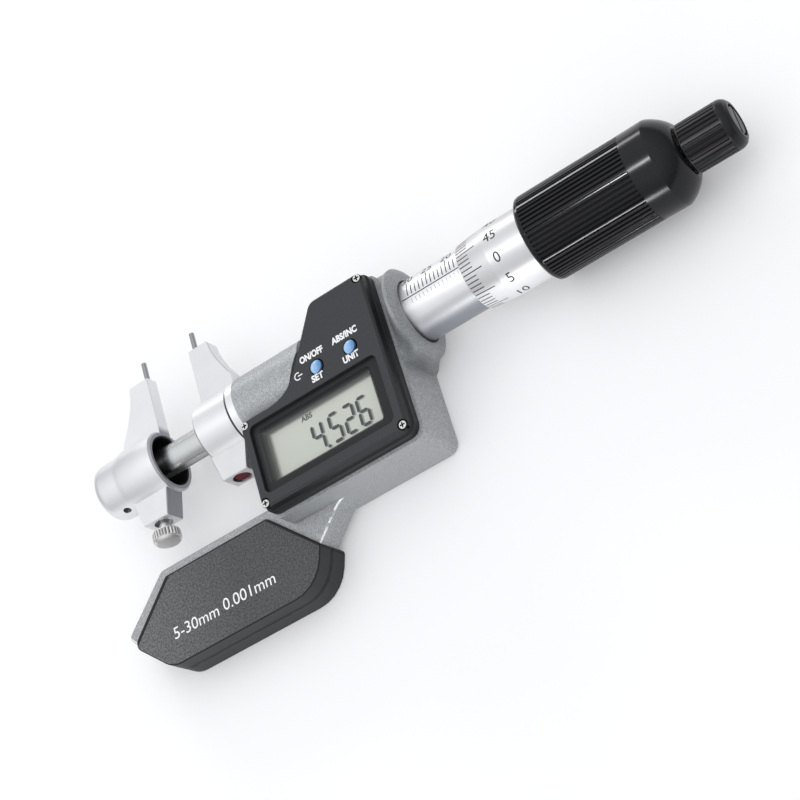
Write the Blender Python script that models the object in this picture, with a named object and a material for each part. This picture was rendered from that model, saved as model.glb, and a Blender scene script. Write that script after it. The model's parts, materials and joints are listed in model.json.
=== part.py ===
"""Caliper-type digital inside micrometer, 5 to 30 mm, lying on its back.

Frame: +X along the spindle towards the ratchet, +Y towards the jaw tips, +Z out of
the display. The origin lies on the flat back, straight below the spindle's axis.
Lengths are in metres; mm turns a number of millimetres into metres.
"""
import math

import bmesh
import bpy
from mathutils import Matrix, Vector

mm = 0.001

# Scale and travel
min_reading = 5.0 * mm
max_reading = 30.0 * mm
rest_reading = 16.98 * mm
closed_gap = 0.45 * mm  # left between the jaw bodies at the smallest reading

# Clearances
seat_gap = 0.25 * mm  # between pieces that are fixed to each other
run_gap = 0.3 * mm  # between pieces that move on each other
thin_gap = 0.15 * mm  # under the display cover, where the seam shows

# Spindle axis above the back face
axis_height = 10.2 * mm
body_above_axis = 4.0 * mm

# Body block behind the display, and its cover
body_front_x = -25.6 * mm
cover_length = 39.7 * mm
cover_low_y = -28.3 * mm
cover_step_y = -5.85 * mm
cover_top_y = 11.65 * mm
cover_bend_x = -12.1 * mm
cover_peak_x = -0.7 * mm
cover_height = 4.5 * mm
cover_skin = 2.1 * mm
cover_wall = 2.5 * mm
cover_ledge = 0.55 * mm
cover_bevel = 0.5 * mm
body_margin = 0.75 * mm
body_bevel = 0.6 * mm

# Nose that carries the fixed jaw, and the boss that carries the sleeve
nose_radius = 8.0 * mm
nose_reach = 2.1 * mm
nose_run = 18.6 * mm
spigot_radius = 5.2 * mm
spigot_length = 5.0 * mm
boss_radius = 11.0 * mm
boss_end_radius = 9.3 * mm
boss_half_width = 10.9 * mm
boss_length = 5.2 * mm
tube_radius = 4.4 * mm

# Arm and grip
arm_top_y = -22.4 * mm
arm_root_inset = 6.0 * mm
arm_thickness = 6.9 * mm
arm_middle_z = 4.95 * mm
arm_rim = 2.2 * mm  # how far the arm lies inside the shells along their lower edge
arm_proud = 1.8 * mm  # how far it stands out beyond their left end
arm_inset = 0.8 * mm  # and how far it lies inside their right end
arm_flare = 7.8 * mm
arm_flare_drop = 7.3 * mm
grip_left_x = -72.2 * mm
grip_length = 53.2 * mm
grip_top_y = -24.8 * mm
grip_depth = 20.8 * mm
grip_shoulder_drop = 11.8 * mm
grip_left_slant = 12.6 * mm
grip_right_slant = 11.4 * mm
grip_toe_slant = 9.0 * mm
grip_heel_slant = 3.4 * mm
grip_height = 9.6 * mm
grip_split = 0.3 * mm
grip_bevel = 0.25 * mm

# Jaws
jaw_radius = 7.5 * mm
jaw_end_radius = 6.95 * mm
fixed_jaw_length = 9.9 * mm
movable_jaw_length = 18.5 * mm
jaw_step_length = 6.6 * mm
jaw_nose_length = 2.4 * mm
jaw_nose_radius = 2.6 * mm
jaw_mouth_radius = 5.95 * mm
jaw_mouth_depth = 9.5 * mm
jaw_end_wall = 1.3 * mm
wing_top_y = 21.5 * mm
wing_thickness = 3.65 * mm
wing_top_width = 5.7 * mm
wing_foot_width = 12.0 * mm
wing_proud = 0.3 * mm  # movable wing's straight edge beyond the mouth
wing_setback = 0.45 * mm  # fixed wing's straight edge behind the jaw's face
tip_radius = 0.62 * mm
tip_inset = 1.05 * mm
tip_reach = 4.9 * mm
tip_socket = 5.0 * mm
ear_low_y = -13.3 * mm
ear_top_width = 10.6 * mm
ear_low_width = 6.95 * mm
ear_thickness = 5.7 * mm
ear_inset = 0.9 * mm
recess_radius = 2.2 * mm
recess_depth = 2.6 * mm

# Clamp screw under the movable jaw, and the small screws
clamp_head_radius = 3.3 * mm
clamp_head_length = 2.8 * mm
clamp_shank_radius = 1.25 * mm
clamp_neck = 2.2 * mm
clamp_depth = 4.6 * mm
clamp_knurls = 26
set_screw_radius = 0.7 * mm
jaw_screw_radius = 1.9 * mm

# Spindle, measuring screw and encoder
spindle_radius = 3.45 * mm
spindle_end_x = -4.0 * mm
keyway_width = 2.2 * mm
keyway_depth = 1.0 * mm
key_x = -20.0 * mm
screw_radius = 3.0 * mm
journal_radius = 1.5 * mm
journal_length = 4.2 * mm
groove_depth = 0.55 * mm
pin_radius = 0.4 * mm
encoder_x = 8.6 * mm
encoder_room = 2.7 * mm
stator_thickness = 0.8 * mm
rotor_thickness = 0.9 * mm

# Sleeve, thimble and ratchet
scale_end_x = 22.1 * mm  # where the thimble's edge stands at the largest reading
sleeve_radius = 7.1 * mm
sleeve_bore_radius = 5.2 * mm
sleeve_socket = 3.0 * mm
sleeve_spare = 1.5 * mm  # left between sleeve and thimble seat at the largest reading
seal_width = 0.55 * mm
seal_length = 1.5 * mm
seal_lip = 0.6 * mm
nut_length = 19.0 * mm
thimble_radius = 8.25 * mm
thimble_cone = 6.8 * mm
thimble_lip = 0.12 * mm
thimble_setback = 0.5 * mm  # thimble's end before the grip's shoulder
thimble_seat_length = 20.0 * mm
grip_sleeve_radius = 9.85 * mm
grip_sleeve_start = 15.8 * mm  # from the thimble's edge
grip_sleeve_rim = 1.2 * mm
rib_length = 24.6 * mm
rib_depth = 0.42 * mm
rib_count = 60
grip_smooth_length = 5.9 * mm
grip_shoulder = 4.3 * mm
grip_shoulder_radius = 5.9 * mm
ratchet_radius = 5.55 * mm
ratchet_length = 11.6 * mm
ratchet_wall = 1.3 * mm
ratchet_end_wall = 2.6 * mm
ratchet_rib_count = 32
ratchet_rib_depth = 0.3 * mm
ratchet_chamfer = 1.1 * mm
ratchet_socket_radius = 3.6 * mm
ratchet_socket_depth = 1.1 * mm
ratchet_screw_radius = 1.3 * mm
ratchet_screw_head = 3.2 * mm
ratchet_screw_grip = 7.5 * mm
clutch_thickness = 1.4 * mm
spring_wire = 0.35 * mm
spring_turns = 4

# Display, buttons and what lies under the cover
lcd_recess = (-23.1 * mm, 11.3 * mm, -25.0 * mm, -8.4 * mm)
lcd_recess_depth = 0.9 * mm
lcd_view = (-20.5 * mm, 7.8 * mm, -22.0 * mm, -10.6 * mm)
lcd_slope = 0.9 * mm
lcd_lap = 1.2 * mm
window_thickness = 0.8 * mm
lcd_thickness = 1.3 * mm
board_thickness = 1.0 * mm
connector_height = 1.0 * mm
connector_width = 2.0 * mm
pocket_floor_z = 8.8 * mm
pocket_wall = 2.6 * mm
pocket_top_y = -9.3 * mm
button_y = -4.1 * mm
button_xs = (-2.7 * mm, 6.3 * mm)
button_radius = 1.55 * mm
button_flange = 0.6 * mm
button_flange_height = 0.6 * mm
button_proud = 0.85 * mm
button_travel = 0.5 * mm
cover_screw_inset = 1.65 * mm
cover_screw_head = 0.98 * mm
cover_screw_shank = 0.55 * mm
cover_screw_sink = 0.7 * mm
cover_screw_length = 7.5 * mm

# Battery and its cap in the back
battery_x = -6.0 * mm
battery_y = -17.5 * mm
battery_radius = 5.8 * mm
battery_height = 5.4 * mm
cap_radius = 7.0 * mm
cap_thickness = 1.7 * mm
cap_sink = 0.3 * mm
coin_slot = (8.0 * mm, 1.4 * mm, 0.7 * mm)

# Screws that hold the grip shells
grip_screw_inset = 14.0 * mm
grip_screw_rise = 9.3 * mm
grip_screw_head = 1.8 * mm
grip_screw_head_height = 0.7 * mm
grip_screw_shank = 0.9 * mm

# What follows from the sizes above
body_depth = axis_height + body_above_axis
grip_screw_places = (
    (grip_left_x + grip_screw_inset, grip_top_y - grip_depth + grip_screw_rise),
    (grip_left_x + grip_length - grip_screw_inset, grip_top_y - grip_depth + grip_screw_rise),
)
cover_rear_x = body_front_x + cover_length
body_rear_x = cover_rear_x + body_margin
arm_root_x = cover_rear_x - arm_root_inset
cover_base_z = body_depth + thin_gap
cover_top_z = cover_base_z + cover_height
cover_inner_z = cover_top_z - cover_skin
encoder_chamber_radius = cover_inner_z - axis_height - run_gap
shoulder_x = body_front_x - nose_reach
fixed_jaw_end_x = shoulder_x - thin_gap
fixed_jaw_face_x = fixed_jaw_end_x - fixed_jaw_length
travel_in = rest_reading - min_reading
mouth_x = fixed_jaw_face_x - closed_gap - travel_in
jaw_end_x = mouth_x - movable_jaw_length
boss_end_x = body_rear_x + boss_length
groove_start_x = boss_end_x - seal_lip - seal_length
sleeve_start_x = boss_end_x - sleeve_socket
thimble_edge_x = scale_end_x + max_reading - rest_reading
grip_start_x = thimble_edge_x + grip_sleeve_start
rib_start_x = grip_start_x + grip_sleeve_rim
rib_end_x = rib_start_x + rib_length
grip_shoulder_x = rib_end_x + grip_smooth_length
grip_end_x = grip_shoulder_x + grip_shoulder
thimble_end_x = grip_shoulder_x - thimble_setback
thimble_seat_x = thimble_end_x - thimble_seat_length
sleeve_end_x = thimble_seat_x - (max_reading - rest_reading) - sleeve_spare
ratchet_start_x = grip_end_x + run_gap
ratchet_end_x = ratchet_start_x + ratchet_length
bore_radius = spindle_radius + run_gap
screw_bore_radius = screw_radius + run_gap
over = 1.0 * mm  # how far a cutter runs past the face that it cuts

axis_point = Vector((0.0, 0.0, axis_height))
guides = None


def clear_scene():
    """Empties the file that the script runs in."""
    for thing in list(bpy.data.objects):
        bpy.data.objects.remove(thing, do_unlink=True)
    for mesh in list(bpy.data.meshes):
        bpy.data.meshes.remove(mesh)


def finish_of(name, colour, roughness, metallic=0.0, alpha=1.0):
    """A plain Principled material."""
    material = bpy.data.materials.new(name)
    material.use_nodes = True
    shader = material.node_tree.nodes["Principled BSDF"]
    shader.inputs["Base Color"].default_value = (*colour, 1.0)
    shader.inputs["Roughness"].default_value = roughness
    shader.inputs["Metallic"].default_value = metallic
    shader.inputs["Alpha"].default_value = alpha
    material.diffuse_color = (*colour, alpha)
    return material


def object_from(bm, name, material, origin=(0.0, 0.0, 0.0)):
    """Turns a bmesh into an object whose origin is the given point, with its faces outwards."""
    bmesh.ops.remove_doubles(bm, verts=bm.verts, dist=1e-7)
    bmesh.ops.recalc_face_normals(bm, faces=bm.faces)
    bmesh.ops.translate(bm, vec=-Vector(origin), verts=bm.verts)
    mesh = bpy.data.meshes.new(name)
    bm.to_mesh(mesh)
    bm.free()
    mesh.shade_smooth()
    mesh.set_sharp_from_angle(angle=math.radians(32))
    thing = bpy.data.objects.new(name, mesh)
    thing.location = origin
    bpy.context.scene.collection.objects.link(thing)
    if material:
        mesh.materials.append(material)
    return thing


def arc(centre, radius, start, end, steps):
    """Points along an arc, angles in degrees, both ends included."""
    turn = [math.radians(start + (end - start) * i / steps) for i in range(steps + 1)]
    return [(centre[0] + radius * math.cos(t), centre[1] + radius * math.sin(t)) for t in turn]


def rounded(corners, steps=5):
    """An outline through corners given as (x, y, radius), each corner taken round by an arc."""
    outline = []
    for i, (x, y, radius) in enumerate(corners):
        here = Vector((x, y))
        before = (Vector(corners[i - 1][:2]) - here).normalized()
        after = (Vector(corners[(i + 1) % len(corners)][:2]) - here).normalized()
        if radius <= 0:
            outline.append((x, y))
            continue
        half = before.angle(after) / 2
        middle = here + (before + after).normalized() * (radius / math.sin(half))
        first = here + before * (radius / math.tan(half)) - middle
        last = here + after * (radius / math.tan(half)) - middle
        sweep = first.angle_signed(last)
        for k in range(steps + 1):
            spoke = first.copy()
            spoke.rotate(Matrix.Rotation(-sweep * k / steps, 2))
            outline.append(tuple(middle + spoke))
    return outline


def inset(outline, distance):
    """The outline moved inwards; each point goes along the bisector of its two edges."""
    count = len(outline)
    area = sum(
        outline[i - 1][0] * outline[i][1] - outline[i][0] * outline[i - 1][1] for i in range(count)
    )
    side = 1.0 if area > 0 else -1.0
    moved = []
    for i in range(count):
        here = Vector(outline[i])
        back = (here - Vector(outline[i - 1])).normalized()
        ahead = (Vector(outline[(i + 1) % count]) - here).normalized()
        normal = Vector((-(back + ahead).y, (back + ahead).x)).normalized() * side
        reach = distance / max(0.35, abs(normal.dot(Vector((-back.y, back.x)))))
        moved.append(tuple(here + normal * reach))
    return moved


def stack(name, levels, material, origin=(0.0, 0.0, 0.0)):
    """A closed solid through outlines of equal length, each given as (outline, z)."""
    bm = bmesh.new()
    rings = [[bm.verts.new((x, y, z)) for x, y in outline] for outline, z in levels]
    for low, high in zip(rings, rings[1:]):
        for i in range(len(low)):
            j = (i + 1) % len(low)
            bm.faces.new((low[i], low[j], high[j], high[i]))
    bm.faces.new(rings[0])
    bm.faces.new(rings[-1])
    return object_from(bm, name, material, origin)


def plate(name, outline, low, high, material, low_bevel=0.0, high_bevel=0.0, origin=(0.0, 0.0, 0.0)):
    """An outline extruded from low to high, with an optional bevel round either rim."""
    levels = [(outline, low + low_bevel), (outline, high - high_bevel)]
    if low_bevel:
        levels.insert(0, (inset(outline, low_bevel), low))
    if high_bevel:
        levels.append((inset(outline, high_bevel), high))
    return stack(name, levels, material, origin)


def block(name, low, high, material, origin=(0.0, 0.0, 0.0)):
    """A box between two corners."""
    outline = [(low[0], low[1]), (high[0], low[1]), (high[0], high[1]), (low[0], high[1])]
    return stack(name, [(outline, low[2]), (outline, high[2])], material, origin)


def turned(name, profile, material, steps=32, loop=False):
    """A profile of (x, radius) points spun about the spindle's axis. A loop joins its ends."""
    bm = bmesh.new()
    points = [bm.verts.new((x, 0.0, axis_height + radius)) for x, radius in profile]
    pairs = list(zip(points, points[1:]))
    if loop:
        pairs.append((points[-1], points[0]))
    edges = [bm.edges.new(pair) for pair in pairs]
    bmesh.ops.spin(
        bm, geom=points + edges, cent=axis_point, axis=(1.0, 0.0, 0.0),
        angle=math.tau, steps=steps, use_merge=True, use_duplicate=False,
    )
    return object_from(bm, name, material, axis_point)


def rod(name, start, direction, length, radius, material, steps=24, bevel=0.0, origin=None):
    """A round bar from a point along a direction, with its far rim bevelled if asked."""
    bm = bmesh.new()
    stations = [(0.0, radius), (length - bevel, radius)]
    if bevel:
        stations.append((length, radius - bevel))
    rings = []
    for along, size in stations:
        spokes = arc((0.0, 0.0), size, 0, 360, steps)[:-1]
        rings.append([bm.verts.new((x, y, along)) for x, y in spokes])
    for low, high in zip(rings, rings[1:]):
        for i in range(steps):
            j = (i + 1) % steps
            bm.faces.new((low[i], low[j], high[j], high[i]))
    bm.faces.new(rings[0])
    bm.faces.new(rings[-1])
    turn = Vector(direction).to_track_quat("Z", "Y").to_matrix().to_4x4()
    bm.transform(Matrix.Translation(Vector(start)) @ turn)
    return object_from(bm, name, material, origin or start)


def ribbed_bar(name, low, high, radius, depth, count, material):
    """A bar along the spindle's axis whose outline has evenly spaced flat-topped ribs."""
    bm = bmesh.new()
    pitch = math.tau / count
    marks = [(0.11, radius - depth), (0.42, radius), (0.80, radius)]
    outline = []
    for i in range(count):
        for share, size in marks:
            turn = (i + share) * pitch
            outline.append((size * math.cos(turn), axis_height + size * math.sin(turn)))
    rings = [[bm.verts.new((x, y, z)) for y, z in outline] for x in (low, high)]
    for i in range(len(outline)):
        j = (i + 1) % len(outline)
        bm.faces.new((rings[0][i], rings[0][j], rings[1][j], rings[1][i]))
    bm.faces.new(rings[0])
    bm.faces.new(rings[1])
    return object_from(bm, name, material, axis_point)


def hide_tool(tool):
    """A cutter or a joined shape stays in the file as a hidden wire guide."""
    tool.hide_render = True
    tool.display_type = "WIRE"
    bpy.context.scene.collection.objects.unlink(tool)
    guides.objects.link(tool)


def combine(piece, operation, tools):
    for tool in tools:
        step = piece.modifiers.new(tool.name, "BOOLEAN")
        step.operation = operation
        step.solver = "EXACT"
        step.object = tool
        hide_tool(tool)
    return piece


def carve(piece, *tools):
    return combine(piece, "DIFFERENCE", tools)


def join(piece, *tools):
    return combine(piece, "UNION", tools)


def box_outline(left, right, low, high, radius):
    return rounded(
        [(right, high, radius), (left, high, radius), (left, low, radius), (right, low, radius)], 4
    )


def shrunk(corners, distance):
    """Corners (x, y, radius) of the same outline moved inwards, with its radii kept concentric."""
    count = len(corners)
    moved = []
    for i, (x, y, radius) in enumerate(corners):
        here = Vector((x, y))
        back = (here - Vector(corners[i - 1][:2])).normalized()
        ahead = (Vector(corners[(i + 1) % count][:2]) - here).normalized()
        inward = Vector((-back.y, back.x)) + Vector((-ahead.y, ahead.x))
        reach = distance * 2 / inward.length_squared
        place = here + inward * reach
        bend = -1 if back.cross(ahead) > 0 else 1
        moved.append((place.x, place.y, max(0.3 * mm, radius + bend * distance)))
    return moved


def housing_outline(grow=0.0, inwards=0.0):
    """The outline that body and cover share: low over the nose, rising behind it to a peak."""
    return rounded(shrunk([
        (cover_rear_x + grow, cover_top_y, 2.0 * mm),
        (cover_peak_x, cover_top_y, 3.0 * mm),
        (cover_bend_x, cover_step_y, 9.0 * mm),
        (body_front_x, cover_step_y, 1.7 * mm),
        (body_front_x, cover_low_y - grow, 2.2 * mm),
        (cover_rear_x + grow, cover_low_y - grow, 2.6 * mm),
    ], inwards))


def shell_outline(gap=0.0):
    """The grip shells: a long six-sided plate whose two lower corners are rounded wide."""
    right_x = grip_left_x + grip_length
    low_y = grip_top_y - grip_depth
    waist_y = grip_top_y - grip_shoulder_drop
    return rounded(shrunk([
        (grip_left_x + grip_left_slant, grip_top_y, 1.2 * mm),
        (grip_left_x, waist_y, 2.0 * mm),
        (grip_left_x + grip_toe_slant, low_y, 6.0 * mm),
        (right_x - grip_heel_slant, low_y, 9.0 * mm),
        (right_x, waist_y, 1.0 * mm),
        (right_x - grip_right_slant, grip_top_y, 1.2 * mm),
    ], -gap))


def arm_outline(gap=0.0):
    """The arm's web: it stands proud of the shells above and beside them, and ends inside them below."""
    low_y = cover_low_y - body_margin
    right_x = grip_left_x + grip_length
    waist_y = grip_top_y - grip_shoulder_drop
    heel_y = grip_top_y - grip_depth + arm_rim
    return rounded(shrunk([
        (grip_left_x + grip_left_slant - arm_proud, arm_top_y, 2.0 * mm),
        (grip_left_x - arm_proud, waist_y + 1.8 * arm_proud, 1.0 * mm),
        (grip_left_x + arm_rim, waist_y - arm_rim, 2.0 * mm),
        (grip_left_x + grip_toe_slant + arm_rim, heel_y, 5.0 * mm),
        (right_x - grip_heel_slant - arm_inset, heel_y, 6.0 * mm),
        (right_x - arm_inset, low_y - arm_flare_drop, 1.0 * mm),
        (right_x - arm_inset + arm_flare, low_y, 6.0 * mm),
        (arm_root_x, low_y, 0.0),
        (arm_root_x, arm_top_y, 0.0),
    ], -gap))


def blended(name, stations):
    """The boss: cuts through the flat-topped body that turn into circles, one ring of points each."""
    steps = 48
    top = body_depth - axis_height - 0.1 * mm
    foot = axis_height - 0.1 * mm
    bm = bmesh.new()
    rings = []
    for x, share, radius in stations:
        ring_points = []
        for i in range(steps):
            turn = math.tau * i / steps
            side, rise = math.sin(turn), math.cos(turn)
            reach = (top if rise > 0 else foot) / max(abs(rise), 1e-6)
            flat = min(reach, boss_half_width / max(abs(side), 1e-6))
            size = flat + (radius - flat) * share
            ring_points.append(bm.verts.new((x, size * side, axis_height + size * rise)))
        rings.append(ring_points)
    for low, high in zip(rings, rings[1:]):
        for i in range(steps):
            j = (i + 1) % steps
            bm.faces.new((low[i], low[j], high[j], high[i]))
    bm.faces.new(rings[0])
    bm.faces.new(rings[-1])
    return object_from(bm, name, None)


def make_casting(paint):
    """The cast frame: body block, nose, sleeve boss and arm in one piece."""
    casting = plate(
        "frame_casting", housing_outline(body_margin), 0.0, body_depth, paint, low_bevel=body_bevel
    )
    nose = turned("nose_form", [
        (shoulder_x - spigot_length, 0.0),
        (shoulder_x - spigot_length, spigot_radius),
        (shoulder_x, spigot_radius),
        (shoulder_x, nose_radius - 0.3 * mm),
        (shoulder_x + 0.3 * mm, nose_radius),
        (body_front_x + nose_run, nose_radius),
        (body_front_x + nose_run, 0.0),
    ], None, 48)
    boss = blended("boss_form", [
        (body_rear_x - 3.0 * mm, 0.0, boss_radius), (body_rear_x - 0.25 * mm, 0.0, boss_radius),
        (body_rear_x + 0.8 * mm, 0.2, boss_radius), (body_rear_x + 1.7 * mm, 0.5, boss_radius),
        (body_rear_x + 2.6 * mm, 0.82, boss_radius), (body_rear_x + 3.4 * mm, 0.96, boss_radius),
        (boss_end_x - 1.0 * mm, 1.0, boss_radius - 0.1 * mm),
        (boss_end_x - 0.4 * mm, 1.0, boss_radius - 0.7 * mm),
        (boss_end_x, 1.0, boss_end_radius),
    ])
    tube = turned("tube_form", [
        (body_front_x + over, 0.0), (body_front_x + over, tube_radius),
        (encoder_x + encoder_room + over, tube_radius), (encoder_x + encoder_room + over, 0.0),
    ], None, 40)
    floor_cut = block(
        "boss_floor_cut", (body_rear_x - 5 * mm, -15 * mm, -5 * mm), (boss_end_x + over, 15 * mm, 0.0), None
    )
    arm = plate(
        "arm_form", arm_outline(), arm_middle_z - arm_thickness / 2, arm_middle_z + arm_thickness / 2,
        None, low_bevel=0.5 * mm, high_bevel=0.5 * mm,
    )
    for form in (nose, boss):
        carve(form, plate(
            f"{form.name}_seat_cut", housing_outline(inwards=-run_gap), body_depth, 2.5 * axis_height, None
        ))
    join(casting, nose, carve(boss, floor_cut), tube, arm)

    axial_bore = turned("axial_bore", [
        (shoulder_x - spigot_length - over, 0.0), (shoulder_x - spigot_length - over, bore_radius),
        (encoder_x, bore_radius), (encoder_x, encoder_chamber_radius),
        (encoder_x + encoder_room, encoder_chamber_radius),
        (encoder_x + encoder_room, screw_bore_radius + run_gap),
        (sleeve_start_x - seat_gap, screw_bore_radius + run_gap),
        (sleeve_start_x - seat_gap, sleeve_radius + seat_gap),
        (groove_start_x, sleeve_radius + seat_gap),
        (groove_start_x, sleeve_radius + 2 * seat_gap + seal_width),
        (boss_end_x - seal_lip, sleeve_radius + 2 * seat_gap + seal_width),
        (boss_end_x - seal_lip, sleeve_radius + seat_gap),
        (boss_end_x + over, sleeve_radius + seat_gap),
        (boss_end_x + over, 0.0),
    ], None, 48)
    pocket = plate("electronics_pocket", pocket_outline(), pocket_floor_z, body_depth + over, None)
    battery_bore = rod(
        "battery_bore", (battery_x, battery_y, -over), (0, 0, 1), pocket_floor_z + 2 * over,
        battery_radius + seat_gap, None, 32,
    )
    cap_bore = rod(
        "cap_bore", (battery_x, battery_y, -over), (0, 0, 1), over + cap_sink + cap_thickness + seat_gap,
        cap_radius + seat_gap, None, 32,
    )
    key_bore = rod(
        "key_bore", (key_x, 0.0, axis_height), (0, -1, 0), -pocket_top_y + over,
        keyway_width / 2 - run_gap + seat_gap, None, 16,
    )
    carve(casting, axial_bore, pocket, battery_bore, cap_bore, key_bore)
    for i, (x, y) in enumerate(cover_screw_places(), 1):
        carve(casting, rod(
            f"cover_screw_hole_{i}", (x, y, body_depth + over), (0, 0, -1),
            over + cover_screw_length - cover_height + cover_screw_sink + 2 * seat_gap,
            cover_screw_shank + seat_gap, None, 12,
        ))
    for i, (x, y) in enumerate(grip_screw_places, 1):
        carve(casting, rod(
            f"arm_screw_hole_{i}", (x, y, -over), (0, 0, 1),
            grip_height, grip_screw_shank + seat_gap, None, 16,
        ))
    return casting


def pocket_outline(gap=0.0):
    return box_outline(
        body_front_x + pocket_wall + gap, cover_rear_x - pocket_wall - gap,
        cover_low_y + pocket_wall + gap, pocket_top_y - gap, 1.5 * mm,
    )


def cover_screw_places():
    left = body_front_x + cover_screw_inset
    right = cover_rear_x - cover_screw_inset
    low = cover_low_y + cover_screw_inset
    return (
        (left, cover_step_y - cover_screw_inset), (left, low),
        (right, cover_top_y - cover_screw_inset), (right, low),
    )


def wing_outline(straight_x, side):
    """A jaw's wing: straight on the side that faces the other jaw, swept in on the other."""
    top = straight_x + side * wing_top_width
    foot = straight_x + side * wing_foot_width
    sweep = []
    for i in range(1, 8):
        share = i / 8
        bow = 1 - (1 - share) ** 1.6
        sweep.append((foot + (top - foot) * bow, 7.2 * mm + (wing_top_y - 8.0 * mm) * share))
    return [
        (straight_x, 2.0 * mm), (straight_x, wing_top_y), (top - side * 0.5 * mm, wing_top_y),
        (top, wing_top_y - 0.6 * mm), *reversed(sweep), (foot, 2.0 * mm),
    ]


def ear_outline(centre_x):
    half_top = ear_top_width / 2
    half_low = ear_low_width / 2
    return rounded([
        (centre_x + half_top, 0.0, 0.0), (centre_x - half_top, 0.0, 0.0),
        (centre_x - half_top, -5.4 * mm, 1.0 * mm),
        (centre_x - half_low, ear_low_y, 0.3 * mm), (centre_x + half_low, ear_low_y, 0.3 * mm),
        (centre_x + half_top, -5.4 * mm, 1.0 * mm),
    ], 3)


def flat_on_axis(name, outline, thickness):
    """A plate of the given thickness, centred on the height of the spindle's axis."""
    return plate(
        name, outline, axis_height - thickness / 2, axis_height + thickness / 2, None,
        low_bevel=0.2 * mm, high_bevel=0.2 * mm,
    )


def tip_place(straight_x, side):
    return straight_x + side * tip_inset


def ear_centre(jaw):
    """The ears stand mirrored: each a little way in from its jaw's facing end."""
    if jaw == "movable":
        return mouth_x - ear_inset - ear_top_width / 2 + 0.4 * mm
    return fixed_jaw_end_x - ear_top_width / 2 + 0.2 * mm


def make_fixed_jaw(chrome, steel, dark, lacquer):
    end = fixed_jaw_end_x
    face = fixed_jaw_face_x
    jaw = turned("fixed_jaw", [
        (face, 0.0), (face, jaw_radius - 0.7 * mm), (face + 0.2 * mm, jaw_radius - 0.3 * mm),
        (face + 0.6 * mm, jaw_radius), (end - 0.3 * mm, jaw_radius),
        (end, jaw_radius - 0.3 * mm), (end, 0.0),
    ], chrome)
    straight = face + wing_setback
    wing = flat_on_axis("fixed_wing_form", wing_outline(straight, 1), wing_thickness)
    ear = flat_on_axis("fixed_ear_form", ear_outline(ear_centre("fixed")), ear_thickness)
    end_trim = turned("fixed_end_trim", [
        (end, 0.0), (end, 14 * mm), (end + 3 * mm, 14 * mm), (end + 3 * mm, 0.0),
    ], None)
    bore = turned("fixed_jaw_bore", [
        (face - over, 0.0), (face - over, bore_radius),
        (shoulder_x - spigot_length - seat_gap, bore_radius),
        (shoulder_x - spigot_length - seat_gap, spigot_radius + seat_gap),
        (end + over, spigot_radius + seat_gap), (end + over, 0.0),
    ], None)
    tip_x = tip_place(straight, 1)
    tip_hole = rod(
        "fixed_tip_hole", (tip_x, wing_top_y + over, axis_height), (0, -1, 0), tip_socket + over,
        tip_radius - 0.1 * mm + seat_gap / 2, None, 12,
    )
    ear_x = ear_centre("fixed")
    recess = rod(
        "fixed_ear_recess", (ear_x, ear_low_y - over, axis_height), (0, 1, 0), recess_depth + over,
        recess_radius, None, 16,
    )
    join(jaw, wing, ear)
    carve(jaw, end_trim, bore, tip_hole, recess)
    make_tip("fixed_jaw_tip", tip_x, steel)
    seat_y = ear_low_y + recess_depth - seat_gap
    jaw_screw = rod(
        "fixed_jaw_screw", (ear_x, seat_y - 1.2 * mm, axis_height), (0, 1, 0), 1.2 * mm,
        jaw_screw_radius, dark, 16,
    )
    slot = block(
        "fixed_jaw_screw_slot", (ear_x - 2.5 * mm, seat_y - 2.0 * mm, axis_height - 0.3 * mm),
        (ear_x + 2.5 * mm, seat_y - 0.7 * mm, axis_height + 0.3 * mm), None,
    )
    carve(jaw_screw, slot)
    rod(
        "sealing_lacquer", (ear_x, seat_y - 1.45 * mm, axis_height), (0, -1, 0), 0.7 * mm,
        jaw_screw_radius, lacquer, 16, bevel=0.3 * mm,
    )


def make_tip(name, x, steel):
    """A hardened pin: a thin shank in the wing's hole and the measuring tip above it."""
    body = rod(
        name, (x, wing_top_y + thin_gap, axis_height), (0, 1, 0),
        tip_reach, tip_radius, steel, 12, bevel=0.12 * mm,
    )
    shank = rod(
        f"{name}_shank", (x, wing_top_y + thin_gap + 0.2 * mm, axis_height), (0, -1, 0),
        tip_socket - 0.3 * mm, tip_radius - 0.1 * mm - seat_gap / 2, None, 12,
    )
    join(body, shank)


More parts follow.
